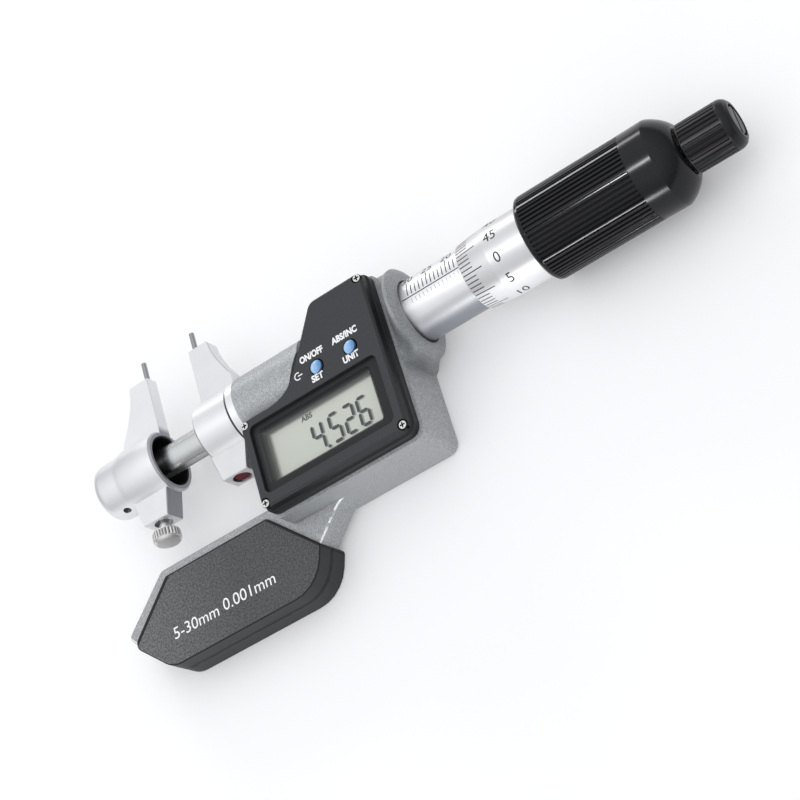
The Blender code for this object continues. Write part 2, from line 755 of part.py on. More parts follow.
def make_movable_jaw(chrome, steel, dark, nickel):
    step_x = jaw_end_x + jaw_step_length
    jaw_nose = [
        (jaw_end_x + jaw_nose_length * (1 - math.cos(math.radians(t))),
         jaw_end_radius - jaw_nose_radius * (1 - math.sin(math.radians(t))))
        for t in range(0, 91, 30)
    ]
    jaw = turned("movable_jaw", [
        (jaw_end_x, 0.0), *jaw_nose, (step_x, jaw_end_radius),
        (step_x + 0.9 * mm, jaw_end_radius + 0.15 * mm), (step_x + 2.2 * mm, jaw_radius),
        (mouth_x - 0.5 * mm, jaw_radius), (mouth_x, jaw_radius - 0.4 * mm), (mouth_x, 0.0),
    ], chrome)
    straight = mouth_x + wing_proud
    wing = flat_on_axis("movable_wing_form", wing_outline(straight, -1), wing_thickness)
    ear_x = ear_centre("movable")
    ear = flat_on_axis("movable_ear_form", ear_outline(ear_x), ear_thickness)
    bore = turned("movable_jaw_bore", [
        (jaw_end_x + jaw_end_wall, 0.0), (jaw_end_x + jaw_end_wall, spindle_radius + seat_gap),
        (mouth_x - jaw_mouth_depth, spindle_radius + seat_gap),
        (mouth_x - jaw_mouth_depth, jaw_mouth_radius), (mouth_x - 0.35 * mm, jaw_mouth_radius),
        (mouth_x, jaw_mouth_radius + 0.35 * mm), (mouth_x + over, jaw_mouth_radius + 0.35 * mm),
        (mouth_x + over, 0.0),
    ], None)
    tip_x = tip_place(straight, -1)
    tip_hole = rod(
        "movable_tip_hole", (tip_x, wing_top_y + over, axis_height), (0, -1, 0), tip_socket + over,
        tip_radius - 0.1 * mm + seat_gap / 2, None, 12,
    )
    clamp_hole = rod(
        "clamp_hole", (ear_x, ear_low_y - over, axis_height), (0, 1, 0), over + clamp_depth + seat_gap,
        clamp_shank_radius + run_gap, None, 14,
    )
    clamp_sink = rod(
        "clamp_sink", (ear_x, ear_low_y - over, axis_height),
        (0, 1, 0), over + 1.1 * mm, recess_radius, None, 16,
    )
    lean = math.radians(196)
    outward = Vector((0.0, math.cos(lean), -math.sin(lean)))
    set_x = jaw_end_x + jaw_step_length * 0.78
    set_hole = rod(
        "set_screw_hole", Vector((set_x, 0.0, axis_height)) + outward * spindle_radius, outward,
        6 * mm, set_screw_radius + seat_gap, None, 16,
    )
    join(jaw, wing, ear)
    carve(jaw, bore, tip_hole, clamp_hole, clamp_sink, set_hole)
    make_tip("movable_jaw_tip", tip_x, steel)
    rod(
        "jaw_set_screw", Vector((set_x, 0.0, axis_height)) + outward * (spindle_radius + seat_gap), outward,
        1.9 * mm, set_screw_radius, dark, 16, bevel=0.15 * mm,
    )
    make_clamp_screw(ear_x, nickel)


def make_clamp_screw(x, nickel):
    """The knurled screw below the movable jaw: head, neck and threaded shank."""
    head_y = ear_low_y - clamp_neck
    head = rod(
        "jaw_clamp_screw", (x, head_y, axis_height), (0, -1, 0),
        clamp_head_length, clamp_head_radius - 0.22 * mm,
        nickel, 26, bevel=0.35 * mm, origin=(x, ear_low_y, axis_height),
    )
    bm = bmesh.new()
    rings = []
    for y in (head_y - 0.35 * mm, head_y - clamp_head_length + 0.75 * mm):
        ring = []
        for i in range(clamp_knurls * 2):
            size = clamp_head_radius if i % 2 else clamp_head_radius - 0.2 * mm
            turn = math.pi * i / clamp_knurls
            ring.append(bm.verts.new((x + size * math.cos(turn), y, axis_height + size * math.sin(turn))))
        rings.append(ring)
    for i in range(clamp_knurls * 2):
        j = (i + 1) % (clamp_knurls * 2)
        bm.faces.new((rings[0][i], rings[0][j], rings[1][j], rings[1][i]))
    bm.faces.new(rings[0])
    bm.faces.new(rings[1])
    knurl = object_from(bm, "clamp_knurl_form", None)
    shank = rod(
        "clamp_shank_form", (x, head_y - over, axis_height), (0, 1, 0), over + clamp_neck + clamp_depth,
        clamp_shank_radius, None, 14,
    )
    join(head, knurl, shank)


def make_spindle(steel, dark):
    """The spindle: keyed against turning, with a bore in its end for the measuring screw's journal."""
    start = jaw_end_x + jaw_end_wall + seat_gap
    spindle = turned("spindle", [
        (start, 0.0), (start, spindle_radius - 0.3 * mm), (start + 0.3 * mm, spindle_radius),
        (spindle_end_x - 0.2 * mm, spindle_radius), (spindle_end_x, spindle_radius - 0.2 * mm),
        (spindle_end_x, 0.0),
    ], steel)
    keyway = block(
        "keyway_cut",
        (mouth_x - jaw_mouth_depth + 0.6 * mm, -spindle_radius - over, axis_height - keyway_width / 2),
        (spindle_end_x + over, -spindle_radius + keyway_depth, axis_height + keyway_width / 2), None,
    )
    journal_bore = turned("journal_bore", [
        (spindle_end_x - journal_length - 2 * seat_gap, 0.0),
        (spindle_end_x - journal_length - 2 * seat_gap, journal_radius + seat_gap),
        (spindle_end_x + over, journal_radius + seat_gap), (spindle_end_x + over, 0.0),
    ], None, 16)
    pin_y = journal_radius - groove_depth + seat_gap + pin_radius
    pin_x = spindle_end_x - journal_length / 2
    pin_hole = rod(
        "pin_hole", (pin_x, pin_y, axis_height - spindle_radius - over), (0, 0, 1),
        2 * (spindle_radius + over), pin_radius + seat_gap, None, 12,
    )
    carve(spindle, keyway, journal_bore, pin_hole)
    reach = math.sqrt(spindle_radius**2 - (pin_y + pin_radius) ** 2) - 0.1 * mm
    rod(
        "coupling_pin", (pin_x, pin_y, axis_height - reach), (0, 0, 1), 2 * reach, pin_radius, dark, 12,
    )


def make_measuring_screw(steel):
    """Journal with its groove, plain front, screw and the seat of the thimble, turned in one piece."""
    start = spindle_end_x - journal_length
    groove = spindle_end_x - journal_length / 2
    half = pin_radius + seat_gap
    root = journal_radius - groove_depth
    screw = turned("measuring_screw", [
        (start, 0.0), (start, journal_radius), (groove - half, journal_radius), (groove - half, root),
        (groove + half, root), (groove + half, journal_radius),
        (spindle_end_x + seat_gap, journal_radius), (spindle_end_x + seat_gap, screw_radius),
        (thimble_end_x - 0.3 * mm, screw_radius),
        (thimble_end_x, screw_radius - 0.3 * mm), (thimble_end_x, 0.0),
    ], steel, 20)
    tap_x = thimble_end_x - ratchet_screw_grip - 2 * seat_gap
    tapped = turned("tapped_hole", [
        (tap_x, 0.0), (tap_x, ratchet_screw_radius + seat_gap),
        (thimble_end_x + over, ratchet_screw_radius + seat_gap), (thimble_end_x + over, 0.0),
    ], None, 16)
    carve(screw, tapped)


def ring(name, low, high, inner, outer, material, steps=32, bevel=0.0):
    """A turned ring with an optional bevel on its two outer rims."""
    profile = [(low, inner), (low, outer - bevel), (low + bevel, outer), (high - bevel, outer),
               (high, outer - bevel), (high, inner)]
    if not bevel:
        profile = [(low, inner), (low, outer), (high, outer), (high, inner)]
    return turned(name, profile, material, steps, loop=True)


def make_encoder(board_green, brass):
    """A fixed disc of pick-ups and, beside it, the disc that turns with the measuring screw."""
    low = encoder_x + run_gap
    ring("encoder_stator", low, low + stator_thickness, screw_bore_radius, encoder_chamber_radius - 0.4 * mm,
         board_green, 24)
    low += stator_thickness + run_gap
    ring("encoder_rotor", low, low + rotor_thickness, screw_bore_radius, encoder_chamber_radius - 0.6 * mm,
         brass, 20)


def make_sleeve(chrome, rubber, brass):
    ring("sleeve", sleeve_start_x, sleeve_end_x, sleeve_bore_radius, sleeve_radius, chrome, bevel=0.2 * mm)
    ring("sleeve_seal", groove_start_x + seat_gap, boss_end_x - seal_lip - seat_gap,
         sleeve_radius + seat_gap, sleeve_radius + seat_gap + seal_width, rubber)
    ring("spindle_nut", sleeve_end_x - nut_length, sleeve_end_x - 0.2 * mm, screw_bore_radius,
         sleeve_bore_radius - seat_gap, brass, 20)


def make_thimble(chrome):
    """The graduated thimble: a bevelled edge over the sleeve and a thick seat on the screw."""
    bore = sleeve_radius + run_gap
    turned("thimble", [
        (thimble_edge_x, bore), (thimble_edge_x, bore + thimble_lip),
        (thimble_edge_x + thimble_cone, thimble_radius), (thimble_end_x - 0.4 * mm, thimble_radius),
        (thimble_end_x, thimble_radius - 0.4 * mm), (thimble_end_x, screw_bore_radius),
        (thimble_seat_x, screw_bore_radius), (thimble_seat_x, bore),
    ], chrome, loop=True)


def make_thimble_grip(black):
    """The ribbed sleeve on the thimble, closed behind it by a rounded shoulder."""
    low = grip_sleeve_radius - rib_depth - 0.15 * mm
    shoulder = [
        (grip_shoulder_x + grip_shoulder * math.sin(t),
         grip_shoulder_radius + (grip_sleeve_radius - grip_shoulder_radius) * math.cos(t))
        for t in (math.radians(22.5 * k) for k in range(5))
    ]
    grip = turned("thimble_grip", [
        (grip_start_x, 0.0), (grip_start_x, grip_sleeve_radius - 0.75 * mm),
        (rib_start_x - 0.55 * mm, grip_sleeve_radius - 0.12 * mm),
        (rib_start_x, grip_sleeve_radius - 0.1 * mm),
        (rib_start_x + 0.1 * mm, low), (rib_end_x - 0.1 * mm, low),
        (rib_end_x, grip_sleeve_radius - 0.05 * mm),
        *shoulder, (grip_end_x, 0.0),
    ], black)
    ribs = ribbed_bar(
        "grip_rib_form", rib_start_x - 0.2 * mm, rib_end_x + 0.1 * mm,
        grip_sleeve_radius, rib_depth, rib_count, None
    )
    wide = thimble_radius + seat_gap
    hollow = turned("grip_hollow", [
        (grip_start_x - over, 0.0), (grip_start_x - over, wide), (thimble_end_x + seat_gap, wide),
        (thimble_end_x + seat_gap, ratchet_screw_radius + seat_gap),
        (grip_end_x + over, ratchet_screw_radius + seat_gap), (grip_end_x + over, 0.0),
    ], None)
    carve(join(grip, ribs), hollow)


def make_ratchet(black, steel, brass):
    """The ratchet knob, the screw that holds it, and the spring and clutch plate inside it."""
    start = ratchet_start_x
    end = ratchet_end_x
    low = ratchet_radius - ratchet_rib_depth - 0.1 * mm
    rib_low = start + 0.7 * mm
    rib_high = end - ratchet_chamfer - 1.9 * mm
    knob = turned("ratchet_knob", [
        (start, 0.0), (start, ratchet_radius - 0.5 * mm), (start + 0.4 * mm, low),
        (rib_high - 0.1 * mm, low), (rib_high, ratchet_radius - 0.12 * mm),
        (end - ratchet_chamfer, ratchet_radius - 0.15 * mm),
        (end - ratchet_chamfer * 0.45, ratchet_radius - 0.5 * mm),
        (end, ratchet_radius - 1.35 * mm), (end, 0.0),
    ], black)
    ribs = ribbed_bar(
        "ratchet_rib_form", rib_low, rib_high + 0.1 * mm,
        ratchet_radius, ratchet_rib_depth, ratchet_rib_count, None
    )
    inner = ratchet_radius - ratchet_wall
    floor = end - ratchet_end_wall
    hollow = turned("ratchet_hollow", [
        (start - over, 0.0), (start - over, inner), (floor, inner),
        (floor, ratchet_screw_radius + run_gap),
        (end - ratchet_socket_depth, ratchet_screw_radius + run_gap),
        (end - ratchet_socket_depth, ratchet_socket_radius),
        (end + over, ratchet_socket_radius), (end + over, 0.0),
    ], None, 20)
    carve(join(knob, ribs), hollow)

    head_low = end - ratchet_socket_depth + run_gap
    screw = turned("ratchet_screw", [
        (thimble_end_x - ratchet_screw_grip, 0.0),
        (thimble_end_x - ratchet_screw_grip, ratchet_screw_radius),
        (head_low, ratchet_screw_radius), (head_low, ratchet_screw_head),
        (end - 0.25 * mm, ratchet_screw_head),
        (end - 0.1 * mm, ratchet_screw_head - 0.15 * mm), (end - 0.1 * mm, 0.0),
    ], steel, 20)
    slot = block(
        "ratchet_screw_slot", (end - 0.45 * mm, -4 * mm, axis_height - 0.4 * mm),
        (end + over, 4 * mm, axis_height + 0.4 * mm), None,
    )
    carve(screw, slot)

    ring("clutch_plate", start + run_gap, start + run_gap + clutch_thickness, ratchet_screw_radius + run_gap,
         inner - seat_gap, brass, 20)
    make_spring(start + 2 * run_gap + clutch_thickness, floor - run_gap, steel)


def make_spring(low, high, steel):
    """A helix of round wire between the clutch plate and the knob's end wall."""
    middle = (ratchet_screw_radius + ratchet_radius - ratchet_wall) / 2
    steps_round = 10
    sides = 4
    total = round(spring_turns * steps_round)
    bm = bmesh.new()
    rings = []
    for i in range(total + 1):
        turn = math.tau * i / steps_round
        x = low + spring_wire + (high - low - 2 * spring_wire) * i / total
        outward = Vector((0.0, math.cos(turn), math.sin(turn)))
        centre = Vector((x, 0.0, axis_height)) + outward * middle
        spokes = arc((0.0, 0.0), spring_wire, 0, 360, sides)[:-1]
        rings.append([bm.verts.new(centre + Vector((a, 0.0, 0.0)) + outward * b) for a, b in spokes])
    for first, second in zip(rings, rings[1:]):
        for i in range(sides):
            j = (i + 1) % sides
            bm.faces.new((first[i], first[j], second[j], second[i]))
    bm.faces.new(rings[0])
    bm.faces.new(rings[-1])
    object_from(bm, "ratchet_spring", steel, axis_point)


def make_cover(charcoal, screw_steel):
    """The display cover: stepped sides, a sunk bezel with sloping walls, and a hollow underside."""
    outline = housing_outline()
    ledge = inset(outline, cover_ledge)
    cover = stack("display_cover", [
        (outline, cover_base_z), (outline, cover_base_z + cover_height * 0.42),
        (inset(outline, cover_ledge * 0.75), cover_base_z + cover_height * 0.5),
        (ledge, cover_top_z - cover_bevel), (inset(outline, cover_ledge + cover_bevel), cover_top_z),
    ], charcoal)
    bezel_floor = cover_top_z - lcd_recess_depth
    left, right, low, high = lcd_recess
    recess = stack("bezel_cut", [
        (box_outline(left + 0.2 * mm, right - 0.2 * mm, low + 0.2 * mm, high - 0.2 * mm, 1.3 * mm),
        bezel_floor),
        (box_outline(left, right, low, high, 1.5 * mm), cover_top_z),
        (box_outline(left, right, low, high, 1.5 * mm), cover_top_z + over),
    ], None)
    left, right, low, high = lcd_view
    view = stack("view_cut", [
        (box_outline(left, right, low, high, 0.4 * mm), cover_inner_z - over),
        (box_outline(left, right, low, high, 0.4 * mm), cover_inner_z),
        (box_outline(left - lcd_slope, right + lcd_slope, low - lcd_slope, high + lcd_slope, 0.9 * mm),
        bezel_floor),
        (box_outline(left - lcd_slope, right + lcd_slope, low - lcd_slope, high + lcd_slope, 0.9 * mm),
         cover_top_z + over),
    ], None)
    hollow = plate(
        "cover_hollow", housing_outline(inwards=cover_wall), cover_base_z - over, cover_inner_z, None
    )
    tube_room = turned("tube_room", [
        (body_front_x + over / 2, 0.0), (body_front_x + over / 2, tube_radius + seat_gap),
        (encoder_x + encoder_room + 2 * over, tube_radius + seat_gap),
        (encoder_x + encoder_room + 2 * over, 0.0),
    ], None, 40)
    carve(cover, recess, view, hollow, tube_room)
    for i, x in enumerate(button_xs, 1):
        carve(cover, rod(
            f"button_hole_{i}", (x, button_y, cover_inner_z - over), (0, 0, 1), cover_skin + 2 * over,
            button_radius + run_gap, None, 20,
        ))
    for i, (x, y) in enumerate(cover_screw_places(), 1):
        through = rod(
            f"cover_hole_{i}", (x, y, cover_top_z + over), (0, 0, -1), cover_height + 2 * over,
            cover_screw_shank + seat_gap, None, 12,
        )
        sink = rod(
            f"cover_sink_{i}", (x, y, cover_top_z + over), (0, 0, -1), over + cover_screw_sink + seat_gap,
            cover_screw_head + seat_gap, None, 14,
        )
        carve(cover, through, sink)
        make_cover_screw(f"cover_screw_{i}", x, y, screw_steel)


def make_cover_screw(name, x, y, steel):
    """A small cross-head screw, its head just under the cover's face."""
    top = cover_top_z - 0.1 * mm
    screw = rod(
        name, (x, y, top - cover_screw_sink + 0.1 * mm), (0, 0, 1), cover_screw_sink - 0.1 * mm,
        cover_screw_head, steel, 14, bevel=0.15 * mm,
    )
    shank = rod(
        f"{name}_shank", (x, y, top - 0.3 * mm), (0, 0, -1),
        cover_screw_length - 0.3 * mm, cover_screw_shank, None, 12,
    )
    join(screw, shank)
    for arm, (wide, deep) in enumerate(((0.55, 0.11), (0.11, 0.55)), 1):
        carve(screw, block(
            f"{name}_cross_{arm}", (x - wide * mm, y - deep * mm, top - 0.35 * mm),
            (x + wide * mm, y + deep * mm, top + over), None,
        ))


def make_display(clear, glass_grey, board_green, rubber):
    left, right, low, high = lcd_view
    outline = box_outline(left - lcd_lap, right + lcd_lap, low - lcd_lap, high + lcd_lap, 0.5 * mm)
    window_top = cover_inner_z - thin_gap
    plate("lcd_window", outline, window_top - window_thickness, window_top, clear)
    panel_top = window_top - window_thickness - thin_gap
    panel_low = panel_top - lcd_thickness
    plate("lcd_panel", outline, panel_low, panel_top, glass_grey)
    connector_top = panel_low - thin_gap
    connector_low = connector_top - connector_height
    block(
        "lcd_connector", (left + 2 * mm, high - 1.5 * mm, connector_low),
        (right - 2 * mm, high - 1.5 * mm + connector_width, connector_top), rubber,
    )
    board_top = connector_low - thin_gap
    board_low = board_top - board_thickness
    plate("circuit_board", pocket_outline(seat_gap), board_low, board_top, board_green)
    return board_low


def make_buttons(blue, rubber):
    """Two domed buttons, flanged under the cover, over one rubber switch pad."""
    flange_top = cover_inner_z - run_gap
    flange_low = flange_top - button_flange_height
    names = ("on_off_button", "mode_button")
    for name, x in zip(names, button_xs):
        bm = bmesh.new()
        top = cover_top_z + button_proud
        profile = [
            (0.0, flange_low), (button_radius + button_flange, flange_low),
            (button_radius + button_flange, flange_top), (button_radius, flange_top),
            (button_radius, top - 0.75 * mm), (button_radius * 0.93, top - 0.4 * mm),
            (button_radius * 0.72, top - 0.14 * mm), (button_radius * 0.38, top - 0.03 * mm), (0.0, top),
        ]
        points = [bm.verts.new((x + radius, button_y, z)) for radius, z in profile]
        edges = [bm.edges.new(pair) for pair in zip(points, points[1:])]
        bmesh.ops.spin(
            bm, geom=points + edges, cent=(x, button_y, 0.0), axis=(0.0, 0.0, 1.0),
            angle=math.tau, steps=28, use_merge=True, use_duplicate=False,
        )
        object_from(bm, name, blue, (x, button_y, cover_top_z))
    pad_top = flange_low - button_travel - thin_gap
    reach = button_radius + button_flange
    outline = box_outline(
        button_xs[0] - reach, button_xs[1] + reach - seat_gap, button_y - reach, button_y + reach, 0.6 * mm
    )
    pad = plate("switch_pad", outline, body_depth + thin_gap, pad_top, rubber)
    reach = tube_radius + thin_gap
    carve(pad, turned("pad_relief", [
        (button_xs[0] - 5 * mm, 0.0), (button_xs[0] - 5 * mm, reach),
        (button_xs[1] + 5 * mm, reach), (button_xs[1] + 5 * mm, 0.0),
    ], None))


def make_battery(steel, charcoal, brass, board_low):
    low = cap_sink + cap_thickness + 2 * seat_gap
    rod(
        "battery", (battery_x, battery_y, low), (0, 0, 1),
        battery_height, battery_radius, steel, 24, bevel=0.3 * mm
    )
    top = low + battery_height
    block(
        "battery_contact", (battery_x - 5 * mm, battery_y - 1.2 * mm, top + seat_gap),
        (battery_x + 5 * mm, battery_y + 1.2 * mm, board_low - seat_gap), brass,
    )
    cap = rod(
        "battery_cap", (battery_x, battery_y, cap_sink + cap_thickness),
        (0, 0, -1), cap_thickness, cap_radius,
        charcoal, 24, bevel=0.3 * mm,
    )
    length, width, depth = coin_slot
    carve(cap, block(
        "coin_slot_cut", (battery_x - length / 2, battery_y - width / 2, -over),
        (battery_x + length / 2, battery_y + width / 2, cap_sink + depth), None,
    ))


def make_grip_shells(charcoal, screw_steel):
    """Two moulded shells that close round the arm and meet below it."""
    outline = shell_outline()
    web_room = (arm_middle_z - arm_thickness / 2 - seat_gap, arm_middle_z + arm_thickness / 2 + seat_gap)
    front = plate(
        "front_grip_shell", outline, arm_middle_z + grip_split / 2,
        grip_height, charcoal, high_bevel=grip_bevel
    )
    back = plate(
        "back_grip_shell", outline, 0.0, arm_middle_z - grip_split / 2, charcoal, low_bevel=grip_bevel
    )
    for i, shell in enumerate((front, back), 1):
        carve(shell, plate(f"arm_room_{i}", arm_outline(seat_gap), *web_room, None))
    for i, (x, y) in enumerate(grip_screw_places, 1):
        carve(back, rod(
            f"grip_screw_sink_{i}", (x, y, -over), (0, 0, 1), over + grip_screw_head_height + seat_gap,
            grip_screw_head + seat_gap, None, 14,
        ))
        carve(back, rod(
            f"grip_screw_hole_{i}", (x, y, -over), (0, 0, 1),
            arm_middle_z + over, grip_screw_shank + seat_gap, None, 16,
        ))
        screw = rod(
            f"grip_screw_{i}", (x, y, grip_screw_head_height), (0, 0, -1), grip_screw_head_height - 0.2 * mm,
            grip_screw_head, screw_steel, 14, bevel=0.2 * mm,
        )
        shank = rod(
            f"grip_screw_{i}_shank", (x, y, grip_screw_head_height - 0.2 * mm), (0, 0, 1),
            arm_middle_z + arm_thickness / 2 - grip_screw_head_height, grip_screw_shank, None, 16,
        )
        join(screw, shank)
        for arm, (wide, deep) in enumerate(((1.1, 0.22), (0.22, 1.1)), 1):
            carve(screw, block(
                f"grip_screw_{i}_cross_{arm}", (x - wide * mm, y - deep * mm, -over),
                (x + wide * mm, y + deep * mm, 0.5 * mm), None,
            ))


def make_key(dark):
    """The pin that runs in the spindle's keyway and keeps it from turning."""
    tip_y = -spindle_radius + keyway_depth - run_gap
    rod(
        "spindle_key", (key_x, tip_y, axis_height), (0, -1, 0), tip_y - pocket_top_y + 0.4 * mm,
        keyway_width / 2 - run_gap, dark, 16,
    )


def build():
    global guides
    clear_scene()
    guides = bpy.data.collections.new("guides")
    bpy.context.scene.collection.children.link(guides)
    guides.hide_render = True

    paint = finish_of("grey_paint", (0.36, 0.37, 0.39), 0.55)
    chrome = finish_of("satin_chrome", (0.80, 0.80, 0.81), 0.32, 1.0)
    steel = finish_of("polished_steel", (0.66, 0.67, 0.68), 0.22, 1.0)
    dark = finish_of("black_steel", (0.05, 0.05, 0.055), 0.4, 0.8)
    nickel = finish_of("satin_nickel", (0.62, 0.61, 0.60), 0.35, 1.0)
    lacquer = finish_of("red_lacquer", (0.12, 0.005, 0.01), 0.3)
    charcoal = finish_of("charcoal_plastic", (0.055, 0.058, 0.062), 0.6)
    shell = finish_of("shell_plastic", (0.09, 0.092, 0.096), 0.65)
    black = finish_of("black_plastic", (0.02, 0.021, 0.024), 0.35)
    rubber = finish_of("black_rubber", (0.02, 0.02, 0.02), 0.8)
    blue = finish_of("blue_button", (0.22, 0.45, 0.75), 0.4)
    clear = finish_of("clear_window", (0.9, 0.92, 0.9), 0.05, 0.0, 0.2)
    glass_grey = finish_of("display_glass", (0.55, 0.58, 0.52), 0.3)
    green = finish_of("board_green", (0.03, 0.16, 0.07), 0.5)
    brass = finish_of("brass", (0.70, 0.52, 0.22), 0.3, 1.0)

    make_casting(paint)
    make_fixed_jaw(chrome, steel, dark, lacquer)
    make_movable_jaw(chrome, steel, dark, nickel)
    make_spindle(steel, dark)
    make_measuring_screw(steel)
    make_key(dark)
    make_encoder(green, brass)
    make_sleeve(chrome, rubber, brass)
    make_thimble(chrome)
    make_thimble_grip(black)
    make_ratchet(black, steel, brass)
    make_cover(charcoal, nickel)
    board_low = make_display(clear, glass_grey, green, rubber)
    make_buttons(blue, rubber)
    make_battery(steel, charcoal, brass, board_low)
    make_grip_shells(shell, nickel)


build()
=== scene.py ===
# %% [markdown]
# # Dressing a digital inside micrometer
# The solids of the tool are already built and packed in one frame: +X runs along the spindle
# towards the ratchet, +Y towards the jaw tips and +Z out of the display. This notebook gives
# them their finishes, and adds what is too fine for the solids: the engraved scales, the
# printed words, the segments of the display and the smooth turned surfaces.

# %% Load the solids
import json
import math

import bpy
import numpy as np
from mathutils import Matrix, Vector


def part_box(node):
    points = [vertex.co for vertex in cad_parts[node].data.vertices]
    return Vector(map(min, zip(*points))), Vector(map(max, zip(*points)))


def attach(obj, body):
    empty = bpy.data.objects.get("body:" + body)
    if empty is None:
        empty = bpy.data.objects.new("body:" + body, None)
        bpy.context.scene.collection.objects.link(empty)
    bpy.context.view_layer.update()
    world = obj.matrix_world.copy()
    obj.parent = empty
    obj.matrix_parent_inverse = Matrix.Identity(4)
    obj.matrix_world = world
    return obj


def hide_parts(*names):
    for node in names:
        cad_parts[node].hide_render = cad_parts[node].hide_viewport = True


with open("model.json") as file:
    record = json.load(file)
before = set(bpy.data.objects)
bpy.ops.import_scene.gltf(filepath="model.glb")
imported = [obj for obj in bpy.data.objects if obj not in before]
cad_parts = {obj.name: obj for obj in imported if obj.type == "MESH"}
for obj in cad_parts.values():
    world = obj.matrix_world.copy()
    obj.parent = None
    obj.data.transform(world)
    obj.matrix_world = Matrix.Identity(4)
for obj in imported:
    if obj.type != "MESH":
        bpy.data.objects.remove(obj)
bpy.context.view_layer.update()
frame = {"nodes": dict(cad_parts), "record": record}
nodes = frame["nodes"]
mm = 0.001
axis_z = 10.2 * mm

# %% [markdown]
# ## Where the eye stands
# The tool is seen from above and a little from its right, turned so that the spindle climbs
# to the upper right. A camera is three unit vectors and a point, so it is written that way:
# right, up and back are the picture's own axes, and a long lens keeps the perspective mild.

# %% Camera
eye = Vector((174.0, -210.0, 347.2)) * mm
right = Vector((0.7957, -0.2688, -0.5428))
up = Vector((0.4636, 0.8470, 0.2601))
back = right.cross(up).normalized()
lens = bpy.data.cameras.new("eye")
lens.sensor_width = 36.0
lens.lens = 90.0
lens.clip_start = 0.01
lens.clip_end = 20.0
camera = bpy.data.objects.new("eye", lens)
camera.matrix_world = Matrix.Translation(eye) @ Matrix((right, up, back)).transposed().to_4x4()
bpy.context.scene.collection.objects.link(camera)
bpy.context.scene.camera = camera
print("the eye is", round(eye.length / mm), "mm from the origin")

# %% [markdown]
# ## Shader maths as plain expressions
# A procedural finish is mostly arithmetic on coordinates. Instead of placing Math nodes by
# hand, a small class wraps a socket, so that `1 - mask * 0.5` builds the nodes by itself. The
# other nodes come from a method that takes a type, its settings and its inputs.


# %% Sockets that can be added and multiplied
class Wire:
    """A socket that takes part in arithmetic; each operator adds one Math node."""

    def __init__(self, finish, socket):
        self.finish = finish
        self.socket = socket

    def maths(self, operation, *values):
        return self.finish.node("ShaderNodeMath", {"operation": operation}, *values)

    def __add__(self, other):
        return self.maths("ADD", self, other)

    def __radd__(self, other):
        return self.maths("ADD", other, self)

    def __sub__(self, other):
        return self.maths("SUBTRACT", self, other)

    def __rsub__(self, other):
        return self.maths("SUBTRACT", other, self)

    def __mul__(self, other):
        return self.maths("MULTIPLY", self, other)

    def __rmul__(self, other):
        return self.maths("MULTIPLY", other, self)

    def __truediv__(self, other):
        return self.maths("DIVIDE", self, other)

    def at_least(self, other):
        return self.maths("MAXIMUM", self, other)

    def at_most(self, other):
        return self.maths("MINIMUM", self, other)

    def size(self):
        return self.maths("ABSOLUTE", self)

    def root(self):
        return self.maths("SQRT", self)


class Finish:
    """A Principled material, and the nodes that vary it."""

    def __init__(self, name, colour, roughness, metallic=0.0, **fixed):
        self.material = bpy.data.materials.new(name)
        self.material.use_nodes = True
        self.tree = self.material.node_tree
        self.shader = self.tree.nodes["Principled BSDF"]
        self.give("Base Color", (*colour, 1.0))
        self.give("Roughness", roughness)
        self.give("Metallic", metallic)
        for key, value in fixed.items():
            self.give(key.replace("_", " "), value)

    def give(self, name, value):
        """Sets one input of the shader, or links a wire to it."""
        self.plug(self.shader.inputs[name], value)

    def plug(self, socket, value):
        if isinstance(value, Wire):
            self.tree.links.new(value.socket, socket)
        else:
            socket.default_value = value

    def node(self, kind, settings, *values, out=0, **named):
        """Makes a node, sets it up, fills its inputs, and returns one output as a wire."""
        made = self.tree.nodes.new(kind)
        for key, value in settings.items():
            setattr(made, key, value)
        for socket, value in zip(made.inputs, values):
            self.plug(socket, value)
        for key, value in named.items():
            self.plug(made.inputs[key.replace("_", " ")], value)
        return Wire(self, made.outputs[out])

    def place(self):
        """Object coordinates in metres, as the three wires x, y and z."""
        coordinates = self.node("ShaderNodeTexCoord", {}, out=3)
        split = self.tree.nodes.new("ShaderNodeSeparateXYZ")
        self.plug(split.inputs[0], coordinates)
        return [Wire(self, socket) for socket in split.outputs]

    def noise(self, scale, detail=2.0, roughness=0.5, stretch=(1.0, 1.0, 1.0)):
        """A noise field on Object coordinates; scale is in features per metre."""
        coordinates = self.node("ShaderNodeTexCoord", {}, out=3)
        spread = self.node("ShaderNodeMapping", {}, coordinates, Scale=stretch)
        return self.node(
            "ShaderNodeTexNoise", {}, Vector=spread, Scale=scale, Detail=detail, Roughness=roughness
        )

    def blend(self, mask, low, high):
        """The colour low where the mask is 0 and high where it is 1."""
        made = self.tree.nodes.new("ShaderNodeMix")
        made.data_type = "RGBA"
        self.plug(made.inputs[0], mask)
        for socket, colour in ((made.inputs[6], low), (made.inputs[7], high)):
            self.plug(socket, colour if isinstance(colour, Wire) else (*colour, 1.0))
        return Wire(self, made.outputs[2])

    def ramp(self, value, start, width):
        """0 below start, 1 above start plus width, and a straight line between."""
        return ((value - start) / width).at_least(0.0).at_most(1.0)

    def facing(self):
        """The surface's own direction, as the three wires x, y and z."""
        normal = self.node("ShaderNodeNewGeometry", {}, out=1)
        split = self.tree.nodes.new("ShaderNodeSeparateXYZ")
        self.plug(split.inputs[0], normal)
        return [Wire(self, socket) for socket in split.outputs]

    def relief(self, height, depth, strength=1.0):
        """Turns a height from 0 to 1 into a bump of the given depth in metres."""
        bump = self.node(
            "ShaderNodeBump", {}, Strength=strength, Distance=depth, Height=height
        )
        self.give("Normal", bump)


